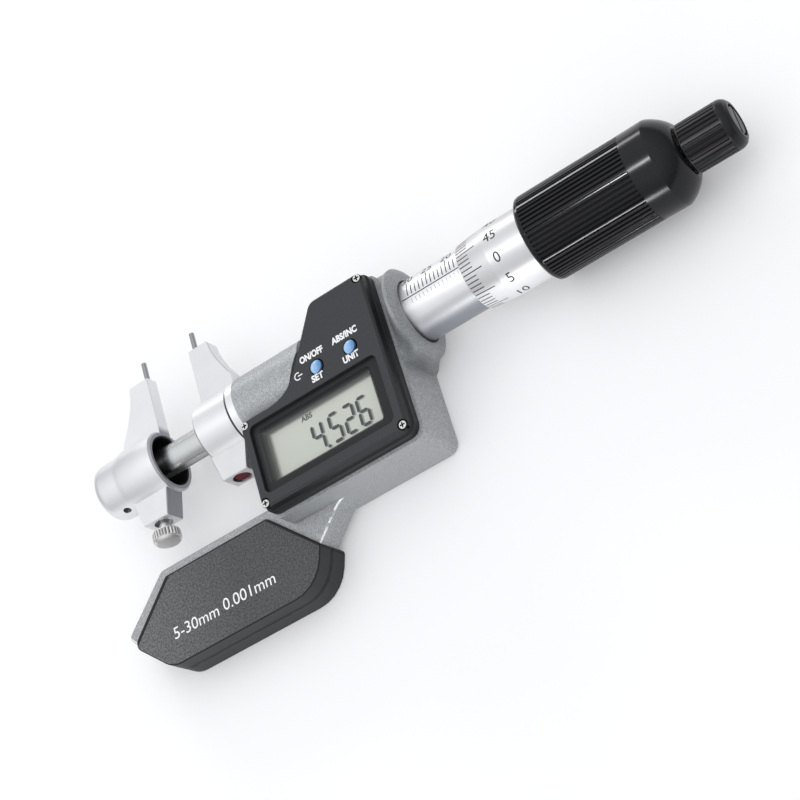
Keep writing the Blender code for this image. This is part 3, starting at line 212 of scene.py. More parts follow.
# %% [markdown]
# ## The finishes
# The casting is sprayed with a fine silver-grey enamel, in which small bright flakes show.
# The jaws, the sleeve and the thimble are satin chrome: almost white, because the plating
# mirrors the bright room, with faint turning marks round the axis. The plastics are charcoal
# with a spark-eroded grain, and the thimble's grip and the ratchet are a glossier black.
# Worn rims are masks worked out from the place and the facing of the surface, and so are the
# painted shade in gaps, wells and recesses and on faces turned from the light, and the painted
# light on faces turned towards it: they need no pieces of their own and stay where they are
# from every side.


# %% Grey enamel on the casting
def grey_enamel():
    """Grey from two noises, coarse mottling and fine flakes, with its bare and worn places, and painted
    shade in its gaps and on the boss.
    """
    arm_top, arm_inner_y, shoulder_y = 8.4 * mm, -27 * mm, -12 * mm
    socket_r, boss_x = 7.55 * mm, 17 * mm
    paint = Finish("grey_enamel", (0.36, 0.37, 0.39), 0.42, 0.35)
    x, y, z = paint.place()
    flakes = paint.noise(4200, 4.0, 0.8)
    mottle = paint.noise(900, 2.0)
    bright = paint.ramp(flakes, 0.47, 0.10)
    tone = bright * 0.7 + mottle * 0.3
    sprayed = paint.blend(tone, (0.235, 0.245, 0.255), (0.55, 0.56, 0.57))
    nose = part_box("fixed_jaw")[1].x
    above = paint.ramp(y, shoulder_y, 1.0 * mm)
    bare = (1 - paint.ramp(x, nose + 2.2 * mm, 0.12 * mm)) * above
    # Painted shade: the hairline gap between the fixed jaw and the nose is a near-black line.
    gap = (1 - paint.ramp(x, nose + 0.42 * mm, 0.06 * mm)) * above
    _, ny, nz = paint.facing()
    rim = paint.ramp(z, arm_top - 0.34 * mm, 0.06 * mm)
    rim = rim * (1 - paint.ramp(z, arm_top + 0.02 * mm, 0.03 * mm))
    tilted = paint.ramp(nz, 0.4, 0.1) * (1 - paint.ramp(nz, 0.9, 0.05))
    chipped = paint.ramp(paint.noise(420, 3.0, 0.7), 0.36, 0.12)
    worn = rim * tilted * chipped * (1 - paint.ramp(y, arm_inner_y, 1.0 * mm))
    rise = z - axis_z
    # Painted shade: the narrow gap round the sleeve at the boss's mouth is painted near black.
    socket_shade = 1 - paint.ramp((y * y + rise * rise).root(), socket_r, 0.05 * mm)
    socket_shade = socket_shade * paint.ramp(x, boss_x, 0.1 * mm)
    # Painted shade: towards the boss the enamel is darker, most where it faces forward, away from the
    # top.
    under = paint.ramp(0 - ny, 0.25, 0.5)
    boss_shade = paint.ramp(x, 9 * mm, 4 * mm) * paint.ramp(y, -15 * mm, 10 * mm) * (under * 0.65 + 0.3)
    clean = (0.80, 0.80, 0.81)
    colour = paint.blend(worn, paint.blend(bare, sprayed, clean), (0.95, 0.95, 0.94))
    colour = paint.blend(boss_shade, colour, (0.15, 0.16, 0.17))
    paint.give("Base Color", paint.blend(gap.at_least(socket_shade), colour, (0.015, 0.015, 0.015)))
    paint.give("Metallic", bare * 0.55 + 0.3)
    paint.give("Roughness", 0.5 - bright * 0.14 - bare * 0.08)
    paint.relief(flakes + mottle * 0.6, 0.05 * mm, 0.45)
    return paint.material


# %% Chrome, steel and nickel
def satin_chrome(name="satin_chrome", tone=1.0):
    """Pale plating with rings round the spindle's axis, from a noise stretched thin along X."""
    plate = Finish(name, (0.77, 0.77, 0.78), 0.40, 0.85)
    rings = plate.noise(240, 3.0, 0.6, (24.0, 1.0, 1.0))
    cloud = plate.noise(160, 2.0)
    dark = tuple(tone * c for c in (0.70, 0.70, 0.715))
    light = tuple(tone * c for c in (0.79, 0.79, 0.795))
    plate.base = plate.blend(cloud, dark, light)
    plate.give("Base Color", plate.base)
    plate.give("Roughness", 0.36 + rings * 0.12)
    plate.relief(rings, 0.006 * mm, 0.3)
    return plate


def tube_chrome(name, start, width, under, tone=1.0):
    """Satin chrome whose front, where it faces away from the top, is painted another tone, as painted
    light and shade.
    """
    plate = satin_chrome(name, tone)
    _, ny, _ = plate.facing()
    plate.give("Base Color", plate.blend(plate.ramp(0 - ny, start, width), plate.base, under))
    return plate.material


mouth_r, mouth_depth = 6.22 * mm, 11 * mm
well_r, well_turn = 0.86 * mm, math.radians(196)


def jaw_chrome(name, tone=1.0, mouth=None):
    """Satin chrome whose ground faces that turn towards +X are painted darker as shade, and whose bore
    and set screw well are painted near black as shade.
    """
    plate = satin_chrome(name, tone)
    x, y, z = plate.place()
    nx, _, _ = plate.facing()
    # Painted shade: the ground faces that turn towards +X are given a darker grey.
    ground = plate.ramp(nx, 0.50, 0.20) * (1 - plate.ramp(y, 7.2 * mm, 1.5 * mm))
    colour = plate.blend(ground, plate.base, (0.30, 0.30, 0.33))
    if mouth is not None:
        # Painted shade: the bore, and the well round the set screw, are painted near black.
        rise = z - axis_z
        radius = (y * y + rise * rise).root()
        bore_shade = 1 - plate.ramp(radius, mouth_r, 0.1 * mm)
        bore_shade = bore_shade * (1 - plate.ramp(x, mouth - 0.1 * mm, 0.15 * mm))
        bore_shade = bore_shade * plate.ramp(x, mouth - mouth_depth, 0.5 * mm)
        out_y, out_z = math.cos(well_turn), -math.sin(well_turn)
        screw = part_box("jaw_set_screw")
        sideways, forwards = rise * out_y - y * out_z, x - (screw[0].x + screw[1].x) / 2
        from_screw = (sideways * sideways + forwards * forwards).root()
        well = 1 - plate.ramp(from_screw, well_r, 0.08 * mm)
        bore_shade = bore_shade.at_least(well * plate.ramp(y * out_y + rise * out_z, 3 * mm, 1 * mm))
        colour = plate.blend(bore_shade, colour, (0.012, 0.012, 0.014))
        plate.give("Roughness", 0.4 + bore_shade * 0.25)
    plate.give("Base Color", colour)
    return plate.material


def small_screw(node):
    """A bright screw head with painted shade: its cross, its sunk parts and a line round its edge are
    painted black.
    """
    head = Finish(f"{node}_finish", (0.70, 0.69, 0.66), 0.34, 0.9)
    x, y, z = head.place()
    low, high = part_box(node)
    across, along = x - (low.x + high.x) / 2, y - (low.y + high.y) / 2
    r = (high.x - low.x) / 2
    from_middle = (across * across + along * along).root()
    bars = 1 - head.ramp(across.size().at_most(along.size()), 0.15 * r, 0.06 * r)
    cross = bars * (1 - head.ramp(from_middle, 0.60 * r, 0.06 * r))
    edge = head.ramp(from_middle, 0.88 * r, 0.06 * r)
    sunk = 1 - head.ramp(z, high.z - 0.16 * mm, 0.05 * mm)
    # Painted shade on the cross, the sunk parts and the edge of the head.
    dark = sunk.at_least(cross).at_least(edge)
    head.give("Base Color", head.blend(dark, (0.74, 0.73, 0.70), (0.012, 0.012, 0.012)))
    head.give("Roughness", 0.32 + dark * 0.3)
    return head.material


def knurled_nickel(node):
    """Nickel with painted shade in the valleys between the ridges: a mask on the distance from its axis.
    """
    nickel = Finish(f"{node}_finish", (0.66, 0.65, 0.64), 0.30, 1.0)
    x, y, z = nickel.place()
    _, ny, _ = nickel.facing()
    low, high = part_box(node)
    across, rise = x - (low.x + high.x) / 2, z - (low.z + high.z) / 2
    r = (high.x - low.x) / 2
    valley_shade = 1 - nickel.ramp((across * across + rise * rise).root(), r - 0.17 * mm, 0.10 * mm)
    band = nickel.ramp(y, low.y + 0.8 * mm, 0.3 * mm)
    band = band * (1 - nickel.ramp(y, low.y + 2.5 * mm, 0.1 * mm))
    valley_shade = valley_shade * band * (1 - nickel.ramp(ny.size(), 0.5, 0.2))
    nickel.give("Base Color", nickel.blend(valley_shade, (0.70, 0.69, 0.68), (0.10, 0.10, 0.10)))
    nickel.give("Roughness", 0.28 + nickel.noise(900) * 0.1)
    return nickel.material


def polished_steel(name, colour, roughness):
    """Ground steel: a narrower highlight, broken by fine lines."""
    steel = Finish(name, colour, roughness, 1.0)
    lines = steel.noise(500, 2.0, 0.6, (16.0, 1.0, 1.0))
    steel.give("Roughness", lines * 0.14 + (roughness - 0.06))
    steel.relief(lines, 0.004 * mm, 0.25)
    return steel.material


# %% Plastics and rubber
window = ((-20.5 * mm, -22.0 * mm), (7.8 * mm, -10.6 * mm))


def cover_plastic():
    """The cover's grain, with painted shade on its walls, darker on the sunk bezel, and painted light on
    the bezel near the glass.
    """
    plastic = Finish("cover_plastic", (0.03, 0.032, 0.035), 0.5, Specular_IOR_Level=0.3)
    x, y, z = plastic.place()
    pits = plastic.noise(3200, 3.0, 0.6)
    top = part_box("display_cover")[1].z
    sunk = plastic.ramp(top - 0.35 * mm - z, 0.0, 0.25 * mm)
    _, _, nz = plastic.facing()
    # Painted shade: the walls are given most of the bezel's near black.
    wall_shade = 1 - plastic.ramp(nz, 0.45, 0.3)
    low, high = window
    # Painted light: the sunk bezel grows lighter towards the glass.
    slope_light = plastic.ramp(x, low[0] - 2.4 * mm, 2.4 * mm) * (1 - plastic.ramp(x, high[0], 1.2 * mm))
    slope_light = slope_light * plastic.ramp(y, low[1] - 1.8 * mm, 1.8 * mm)
    slope_light = slope_light * (1 - plastic.ramp(y, high[1], 1.0 * mm))
    face = plastic.blend(pits, (0.022, 0.024, 0.027), (0.047, 0.049, 0.053))
    bezel = plastic.blend(slope_light * slope_light * slope_light, (0.010, 0.011, 0.013), (0.11, 0.115, 0.11))
    plastic.give("Base Color", plastic.blend(sunk.at_least(wall_shade * 0.75), face, bezel))
    plastic.give("Roughness", 0.44 + pits * 0.14 - sunk * 0.12)
    plastic.relief(pits, 0.02 * mm, 0.5)
    return plastic.material


def shell_plastic():
    """The grip's coarse grain, with painted shade on its walls, on its tilted faces, at the foot of its
    walls and along the three upper edges of its face, and a painted sheen towards its left end.
    """
    plastic = Finish("shell_plastic", (0.06, 0.06, 0.065), 0.55, Specular_IOR_Level=0.35)
    x, y, z = plastic.place()
    _, _, nz = plastic.facing()
    pits = plastic.noise(2300, 4.0, 0.75)
    speckle = plastic.ramp(pits, 0.40, 0.20)
    low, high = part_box("front_grip_shell")
    waist = high.y - 11.8 * mm
    top_left, top_right = low.x + 12.6 * mm, high.x - 11.4 * mm
    # Painted shade: a dark line along each of the three upper edges of the face.
    edges = (
        ((top_left, high.y), (low.x, waist)),
        ((top_right, high.y), (top_left, high.y)),
        ((high.x, waist), (top_right, high.y)),
    )
    rim = None
    for (ax, ay), (bx, by) in edges:
        run = math.hypot(bx - ax, by - ay)
        off = (x - ax) * ((by - ay) / run) - (y - ay) * ((bx - ax) / run)
        line = 1 - plastic.ramp(off.size(), 0.42 * mm, 0.12 * mm)
        rim = line if rim is None else rim.at_least(line)
    # Painted shade on the walls, on the tilted faces and at the foot of the walls.
    wall_shade = 1 - plastic.ramp(nz, 0.45, 0.3)
    turned = plastic.ramp(nz, 0.50, 0.08) * (1 - plastic.ramp(nz, 0.93, 0.04))
    seam_shade = wall_shade * (1 - plastic.ramp((z - low.z - 0.1 * mm).size(), 0.55 * mm, 0.08 * mm))
    # Painted sheen: the face is lighter towards its left end.
    left = 1 - plastic.ramp(x, low.x, 30 * mm)
    dim = plastic.blend(left, (0.036, 0.037, 0.040), (0.060, 0.062, 0.065))
    lit = plastic.blend(left, (0.098, 0.100, 0.103), (0.20, 0.205, 0.21))
    face = plastic.blend(speckle, dim, lit)
    sided = plastic.blend(wall_shade, face, (0.026, 0.027, 0.030))
    dark = rim.at_least(turned).at_least(seam_shade)
    plastic.give("Base Color", plastic.blend(dark, sided, (0.008, 0.008, 0.010)))
    plastic.give("Roughness", 0.48 + pits * 0.16)
    plastic.relief(pits, 0.03 * mm, 0.6)
    return plastic.material


def plain_finish(name, colour, roughness, metallic=0.0, mirror=0.5):
    """A small part's finish: one colour, clouded a little, with a slight bump."""
    made = Finish(name, colour, roughness, metallic, Specular_IOR_Level=mirror)
    cloud = made.noise(900, 2.0)
    dark = tuple(0.86 * c for c in colour)
    light = tuple(min(1.0, 1.14 * c) for c in colour)
    made.give("Base Color", made.blend(cloud, dark, light))
    made.give("Roughness", roughness - 0.05 + cloud * 0.1)
    made.relief(cloud, 0.01 * mm, 0.3)
    return made.material


ribbed_length = 25.8 * mm


def black_moulding():
    """Gloss black on the ribs, duller on the grip's plain band and on the ratchet."""
    plastic = Finish("black_plastic", (0.007, 0.0075, 0.0085), 0.2, Specular_IOR_Level=0.28)
    x, _, _ = plastic.place()
    pits = plastic.noise(1500, 3.0, 0.6)
    matt = plastic.ramp(x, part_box("thimble_grip")[0].x + ribbed_length, 0.3 * mm)
    plastic.give("Base Color", plastic.blend(pits, (0.004, 0.0045, 0.0055), (0.009, 0.0095, 0.011)))
    dull = plastic.ramp(x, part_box("ratchet_knob")[0].x, 0.3 * mm)
    plastic.give("Roughness", 0.07 + matt * 0.10 + dull * 0.14 + pits * 0.04)
    plastic.relief(pits, 0.004 * mm, 0.3)
    return plastic.material


def blue_dome(node):
    """Painted light and shade: sky blue on the side of the light, deeper blue in shade to the right, and
    a painted shadow line in its well.
    """
    dome = Finish(f"{node}_finish", (0.20, 0.42, 0.70), 0.32)
    x, y, _ = dome.place()
    low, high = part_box(node)
    across, along = x - (low.x + high.x) / 2, y - (low.y + high.y) / 2
    # Painted light and shade across the dome, clouded a little.
    shade_side_and_cloud = across * 0.95 - along * 0.32 + dome.noise(900, 2.0) * 0.8 * mm
    tone = dome.ramp(shade_side_and_cloud, -0.6 * mm, 1.9 * mm)
    # Painted shadow: a dark crescent in the well on the dome's right.
    shifted_x, shifted_y = across + 0.22 * mm, along - 0.08 * mm
    edge = dome.ramp((shifted_x * shifted_x + shifted_y * shifted_y).root(), 1.50 * mm, 0.10 * mm)
    blue = dome.blend(tone, (0.46, 0.68, 0.92), (0.13, 0.32, 0.62))
    dome.give("Base Color", dome.blend(edge, blue, (0.012, 0.025, 0.06)))
    return dome.material


# %% The pane over the display
def clear_pane():
    """Clear acrylic: mostly see-through, and smooth enough to mirror the room faintly."""
    pane = Finish("clear_pane", (0.30, 0.31, 0.31), 0.06, 0.0, Alpha=0.08)
    dust = pane.noise(400, 2.0)
    pane.give("Roughness", 0.04 + dust * 0.04)
    return pane.material


def display_glass():
    """The display's grey-green ground, with the bezel's shadow along its left and upper edges."""
    glass = Finish("display_glass", (0.60, 0.63, 0.57), 0.32)
    x, y, _ = glass.place()
    cloud = glass.noise(60, 1.0)
    rise = glass.ramp(y, -25 * mm, 16 * mm)
    shade = rise * 0.7 + cloud * 0.3
    low, high = window
    left = 1 - glass.ramp(x, low[0], 0.9 * mm)
    top = glass.ramp(y, high[1] - 0.7 * mm, 0.7 * mm)
    ground = glass.blend(shade, (0.575, 0.605, 0.54), (0.73, 0.76, 0.68))
    glass.give("Base Color", glass.blend(left.at_least(top) * 0.8, ground, (0.16, 0.17, 0.16)))
    return glass.material


finishes = {
    "grey_paint": grey_enamel(),
    "satin_chrome": satin_chrome().material,
    "polished_steel": polished_steel("polished_steel", (0.60, 0.61, 0.61), 0.24),
    "black_steel": plain_finish("black_steel", (0.05, 0.05, 0.055), 0.4, 0.8),
    "satin_nickel": plain_finish("satin_nickel", (0.66, 0.65, 0.64), 0.34, 1.0),
    "red_lacquer": plain_finish("red_lacquer", (0.11, 0.003, 0.010), 0.45, mirror=0.15),
    "charcoal_plastic": cover_plastic(),
    "shell_plastic": shell_plastic(),
    "black_plastic": black_moulding(),
    "black_rubber": plain_finish("black_rubber", (0.018, 0.018, 0.019), 0.75),
    "clear_window": clear_pane(),
    "display_glass": display_glass(),
    "board_green": plain_finish("board_green", (0.03, 0.16, 0.07), 0.45),
    "brass": plain_finish("brass", (0.70, 0.52, 0.22), 0.3, 1.0),
}
ink_white = plain_finish("white_print", (0.86, 0.87, 0.88), 0.55)
ink_black = plain_finish("black_fill", (0.045, 0.045, 0.05), 0.6, mirror=0.1)
ink_faint = plain_finish("worn_fill", (0.20, 0.20, 0.22), 0.5)
# The display's bars get a painted shadow in this grey.
ink_painted_shadow = plain_finish("display_shadow", (0.30, 0.32, 0.30), 0.5)
ink_mode = plain_finish("display_mode", (0.13, 0.14, 0.14), 0.5)
ink_segment = plain_finish("display_segment", (0.022, 0.026, 0.028), 0.4)
print(len(finishes), "finishes for the record's slots, and six inks")

# %% [markdown]
# ## Helpers for new pieces
# A turned piece is a surface of two parameters: s runs along its profile and t round the
# axis. Sharp corners never look real, so the profile's corners are first rounded by short
# arcs. The points are computed as whole arrays and handed to the mesh at once.

# %% Meshes from arrays
slot_of = {part["node"]: part["material_slot"] for part in frame["record"]["subparts"]}
members_of = frame["record"]["behaviour"]["bodies"]
body_of = {node: body for body, members in members_of.items() for node in members}
skin_angle = 32.0


def mesh_piece(name, points, faces, material, angle=30.0):
    """An object at the origin from an array of points and one of equal faces."""
    mesh = bpy.data.meshes.new(name)
    mesh.from_pydata(points.tolist(), [], faces.tolist())
    mesh.shade_smooth()
    mesh.set_sharp_from_angle(angle=math.radians(angle))
    mesh.materials.append(material)
    piece = bpy.data.objects.new(name, mesh)
    bpy.context.scene.collection.objects.link(piece)
    return piece


def grid_faces(rows, columns, close_rows=False):
    """Quads of a grid whose columns close round, and whose rows do so too if asked."""
    i = np.arange(rows if close_rows else rows - 1)[:, None]
    j = np.arange(columns)[None, :]
    here, there = i * columns, ((i + 1) % rows) * columns
    step = (j + 1) % columns
    return np.stack([here + j, here + step, there + step, there + j], axis=-1).reshape(-1, 4)


def soften(profile, radius, steps=3):
    """Cuts each corner of a closed profile with a quadratic arc: (1-u)^2 a + 2u(1-u) b + u^2 c."""
    corner = np.asarray(profile, float)
    before, after = np.roll(corner, 1, axis=0), np.roll(corner, -1, axis=0)
    reach = []
    for other in (before, after):
        gap = other - corner
        length = np.linalg.norm(gap, axis=1, keepdims=True)
        reach.append(corner + gap / length * np.minimum(radius, 0.4 * length))
    u = np.linspace(0.0, 1.0, steps + 1)[None, :, None]
    start, middle, end = reach[0][:, None], corner[:, None], reach[1][:, None]
    arc = (1 - u) ** 2 * start + 2 * u * (1 - u) * middle + u**2 * end
    return arc.reshape(-1, 2)


def turned_piece(name, profile, material, radius=0.15 * mm, columns=128, ribs=None):
    """Closed profile (x, r) swept round: (x, r cos t, axis + r sin t), with r less the ribs' depth."""
    outline = soften(profile, radius)
    t = np.linspace(0.0, 2 * math.pi, columns, endpoint=False)[None, :]
    x = np.repeat(outline[:, :1], columns, axis=1)
    r = np.repeat(outline[:, 1:], columns, axis=1)
    if ribs:
        r = ribs(x, r, t)
    points = np.stack([x, r * np.cos(t), axis_z + r * np.sin(t)], axis=-1).reshape(-1, 3)
    after = np.roll(outline, -1, axis=0)
    area = np.sum(outline[:, 0] * after[:, 1] - outline[:, 1] * after[:, 0])
    faces = grid_faces(len(outline), columns, close_rows=True)
    return mesh_piece(name, points, faces if area > 0 else faces[:, ::-1], material)


def flat_words(name, words, height, centre, top, material, bold=0.0, stretch=1.0):
    """Printed words: letters filled flat, scaled to a cap height and set on a level face of the frame."""
    curve = bpy.data.curves.new(name, "FONT")
    curve.body = words
    curve.align_x = "CENTER"
    curve.align_y = "CENTER"
    curve.offset = bold
    curve.resolution_u = 4
    raised = bpy.data.objects.new(name, curve)
    mesh = bpy.data.meshes.new_from_object(raised)
    bpy.data.objects.remove(raised, do_unlink=True)
    points = np.empty(len(mesh.vertices) * 3)
    mesh.vertices.foreach_get("co", points)
    points = points.reshape(-1, 3)
    low, high = points.min(axis=0), points.max(axis=0)
    points = points - (low + high) / 2
    points *= height / (high[1] - low[1])
    points[:, 0] *= stretch
    points += np.array([centre[0], centre[1], top])
    mesh.vertices.foreach_set("co", points.reshape(-1))
    mesh.update()
    mesh.materials.append(material)
    piece = bpy.data.objects.new(name, mesh)
    bpy.context.scene.collection.objects.link(piece)
    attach(piece, "frame")
    return piece


def dress(piece, node):
    """Lets a new piece stand for a solid: it moves with its body, and the solid is hidden."""
    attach(piece, body_of[node])
    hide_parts(node)
    return piece


def skin(node):
    """A smooth-shaded copy of a solid: its loose triangles are merged, and its real edges stay sharp."""
    source = nodes[node].data
    points = np.empty(len(source.vertices) * 3)
    source.vertices.foreach_get("co", points)
    corners = np.empty(len(source.loops), dtype=np.int32)
    source.loops.foreach_get("vertex_index", corners)
    joined, index = np.unique(np.round(points.reshape(-1, 3), 7), axis=0, return_inverse=True)
    faces = index.reshape(-1)[corners].reshape(-1, 3)
    a, b, c = faces.T
    faces = faces[(a != b) & (b != c) & (c != a)]
    return dress(mesh_piece(f"{node}_skin", joined, faces, finishes[slot_of[node]], skin_angle), node)


# %% [markdown]
# ## The castings, jaws and mouldings
# The cast frame, the jaws, the cover and the shells have their true shape as solids, but the
# solids are loose flat triangles. A skin joins them and shades them smoothly, and keeps an
# edge sharp only where its two faces turn by more than a set angle. The bevels are already in
# the solids, so a Bevel modifier isn't needed here.

# %% Skins over the solids
turned_later = {
    "sleeve", "sleeve_seal", "thimble", "thimble_grip", "ratchet_knob",
    "on_off_button", "mode_button",
}
mouth_x = -50.18 * mm
set_screw_black = plain_finish("set_screw_finish", (0.008, 0.008, 0.009), 0.7, mirror=0.1)
skins = {}
for node in nodes:
    if node not in turned_later:
        skins[node] = skin(node)
skins["jaw_set_screw"].data.materials[0] = set_screw_black
skins["jaw_clamp_screw"].data.materials[0] = knurled_nickel("jaw_clamp_screw")
skins["fixed_jaw"].data.materials[0] = jaw_chrome("fixed_jaw_chrome")
# The movable jaw's chrome is a lighter copy of it, tone 1.07: painted light.
skins["movable_jaw"].data.materials[0] = jaw_chrome("movable_jaw_chrome", 1.07, mouth_x)
pin_steel = polished_steel("pin_steel", (0.36, 0.36, 0.37), 0.3)
for node in ("fixed_jaw_tip", "movable_jaw_tip"):
    skins[node].data.materials[0] = pin_steel
for number in range(1, 5):
    skins[f"cover_screw_{number}"].data.materials[0] = small_screw(f"cover_screw_{number}")
skins["ratchet_screw"].data.materials[0] = finishes["black_steel"]
print(len(skins), "skins")

# %% [markdown]
# ## Sleeve and thimble
# The sleeve is a plain tube. The thimble's edge is a knife-thin lip on the sleeve, a cone that
# carries the fifty divisions, and a straight barrel that vanishes under the grip.


# %% Turned tubes
def ends(node):
    """Where a solid starts and ends along the spindle."""
    low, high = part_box(node)
    return low.x, high.x


sleeve_low, sleeve_high = ends("sleeve")
sleeve_bore, sleeve_r = 5.2 * mm, 7.1 * mm
# The sleeve's front is painted darker, as shade.
dress(turned_piece("sleeve_surface", [
    (sleeve_low, sleeve_bore), (sleeve_low, sleeve_r),
    (sleeve_high, sleeve_r), (sleeve_high, sleeve_bore),
], tube_chrome("sleeve_chrome", 0.62, 0.34, (0.33, 0.34, 0.37)), 0.2 * mm), "sleeve")

seal_low, seal_high = ends("sleeve_seal")
seal_in, seal_out = 7.35 * mm, 7.9 * mm
dress(turned_piece("seal_surface", [
    (seal_low, seal_in), (seal_low, seal_out), (seal_high, seal_out), (seal_high, seal_in),
], finishes["black_rubber"], 0.2 * mm), "sleeve_seal")

edge_x, barrel_end = ends("thimble")
cone_x, web_x = edge_x + 6.8 * mm, barrel_end - 20 * mm
hollow_r, lip_r, barrel_r, screw_hole = 7.4 * mm, 7.52 * mm, 8.25 * mm, 3.3 * mm
# The thimble's front is painted lighter, as light.
dress(turned_piece("thimble_surface", [
    (edge_x, hollow_r), (edge_x, lip_r), (cone_x, barrel_r), (barrel_end, barrel_r),
    (barrel_end, screw_hole), (web_x, screw_hole), (web_x, hollow_r),
], tube_chrome("thimble_chrome", 0.78, 0.2, (0.92, 0.92, 0.93), 0.84), 0.1 * mm, 160), "thimble")

# %% [markdown]
# ## Grip and ratchet
# Sixty round-topped ribs run along the grip and thirty-two along the ratchet. A rib is not a
# shape of its own: the radius is lowered by a smooth groove that repeats round the axis, and a
# window along X lets the grooves run out just before each plain band.


# %% Ribbed surfaces
def smooth_step(low, high, value):
    """3u^2 - 2u^3 of the value's place between low and high, held from 0 to 1."""
    u = np.clip((value - low) / (high - low), 0.0, 1.0)
    return u * u * (3 - 2 * u)


def groove(count, depth, start, stop, ramp, floor_r):
    """Radius less depth where cos(count t) is high, in a window along X, on the outer skin only."""
    def carve(x, r, t):
        cut = smooth_step(0.05, 0.75, np.cos(count * t))
        length = smooth_step(start, start + ramp, x) * (1 - smooth_step(stop - ramp, stop, x))
        return r - depth * cut * length * (r > floor_r)
    return carve


grip_x, grip_end = ends("thimble_grip")
grip_ribs, knob_ribs = 60, 32
grip_bore, grip_r, screw_r = 8.5 * mm, 9.85 * mm, 1.6 * mm
rib_x, rib_end = grip_x + 1.2 * mm, grip_x + ribbed_length
shoulder_x, shoulder_run, cap_r = rib_end + 5.4 * mm, 4.8 * mm, 5.9 * mm
turn = np.linspace(0, math.pi / 2 - 0.001, 11)
shoulder = [
    (shoulder_x + shoulder_run * math.sin(a) ** 1.5, cap_r + (grip_r - cap_r) * math.cos(a) ** 1.5)
    for a in turn
]
rib_starts = [(rib_x + step, grip_r - 0.05 * mm) for step in (0.0, 0.3 * mm, 0.6 * mm)]
rib_stops = [(rib_end - step, grip_r - 0.05 * mm) for step in (0.6 * mm, 0.3 * mm, 0.0)]
grip_grooves = groove(grip_ribs, 0.42 * mm, rib_x, rib_end, 0.25 * mm, 8.8 * mm)
dress(turned_piece("grip_surface", [
    (grip_x, grip_bore), (grip_x, grip_r - 0.75 * mm), (grip_x + 0.6 * mm, grip_r - 0.12 * mm),
    *rib_starts, *rib_stops, *shoulder, (grip_end, screw_r), (barrel_end + 0.25 * mm, screw_r),
    (barrel_end + 0.25 * mm, grip_bore),
], finishes["black_plastic"], 0.12 * mm, 720, grip_grooves), "thimble_grip")

knob_x, knob_end = ends("ratchet_knob")
knob_bore, knob_r, socket_r = 4.25 * mm, 5.55 * mm, 3.6 * mm
knob_rib_end, socket_x, floor_x = knob_end - 2.3 * mm, knob_end - 1.1 * mm, knob_end - 2.6 * mm
knob_grooves = groove(knob_ribs, 0.3 * mm, knob_x + 0.5 * mm, knob_rib_end, 0.25 * mm, 5.0 * mm)
dress(turned_piece("ratchet_surface", [
    (knob_x, knob_bore), (knob_x, knob_r - 0.3 * mm), (knob_x + 0.25 * mm, knob_r),
    (knob_x + 0.6 * mm, knob_r), (knob_rib_end - 0.3 * mm, knob_r), (knob_rib_end, knob_r),
    (knob_rib_end + 0.4 * mm, knob_r), (knob_end - 1.3 * mm, knob_r - 0.14 * mm),
    (knob_end - 0.6 * mm, knob_r - 0.55 * mm),
    (knob_end, knob_r - 1.35 * mm), (knob_end, socket_r), (socket_x, socket_r),
    (socket_x, screw_r), (floor_x, screw_r), (floor_x, knob_bore),
], finishes["black_plastic"], 0.1 * mm, 512, knob_grooves), "ratchet_knob")
print("grip of", grip_ribs, "ribs, ratchet of", knob_ribs)

# %% [markdown]
# ## The blue buttons
# Each is a low dome standing in its hole: a profile of a flange, a stem and a dome, turned
# about an upright axis.


# %% Domed buttons
def button(name, node, reach, rise, columns=64):
    """Dome z = top - rise (r / reach)^2.6 over a stem and the flange that the solid has."""
    low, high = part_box(node)
    cx, cy = (low.x + high.x) / 2, (low.y + high.y) / 2
    flange = (high.x - low.x) / 2
    r = np.linspace(1.0, 0.0, 14)
    dome = np.stack([r * reach, high.z - rise * r**2.6], axis=1)
    ledge = low.z + 0.6 * mm
    rim = np.array([[0.0, low.z], [flange, low.z], [flange, ledge], [reach, ledge]])
    outline = np.concatenate([rim, dome])
    t = np.linspace(0.0, 2 * math.pi, columns, endpoint=False)[None, :]
    radius, height = outline[:, :1], outline[:, 1:]
    points = np.stack([cx + radius * np.cos(t), cy + radius * np.sin(t), height + 0 * t], axis=-1)
    faces = grid_faces(len(outline), columns)
    piece = mesh_piece(name, points.reshape(-1, 3), faces, blue_dome(node), 35)
    weld = piece.modifiers.new("closed_poles", "WELD")
    weld.merge_threshold = 0.00001
    return dress(piece, node)


for name, node in (("on_off_dome", "on_off_button"), ("mode_dome", "mode_button")):
    button(name, node, 1.55 * mm, 0.75 * mm)

# %% [markdown]
# ## Engraved scales
# The scales are cut and filled with black. They are drawn flat, with u along the spindle and v
# round it, and then rolled: x is u, and the angle from the top towards the jaw tips is v over
# the radius. The radius follows the cone, so the marks lie on the surface.


# %% Rolling flat marks on to a turned surface
print_lift = 0.012 * mm


def roll(u, v, radius_at):
    """Points (u, r sin a, axis + r cos a) for flat (u, v), where a is v over the radius."""
    angle, r = v / radius_at(u), radius_at(u) + print_lift
    return np.stack([u, r * np.sin(angle), axis_z + r * np.cos(angle)], axis=-1)


def mark_grid(x0, x1, v0, v1, radius_at, rows, columns):
    """One filled mark between two places along and round the axis."""
    u, v = np.meshgrid(np.linspace(x0, x1, columns), np.linspace(v0, v1, rows), indexing="ij")
    points = roll(u.reshape(-1), v.reshape(-1), radius_at)
    i = np.arange(columns - 1)[:, None] * rows
    j = np.arange(rows - 1)[None, :]
    faces = np.stack([i + j, i + rows + j, i + rows + j + 1, i + j + 1], axis=-1).reshape(-1, 4)
    return points, faces


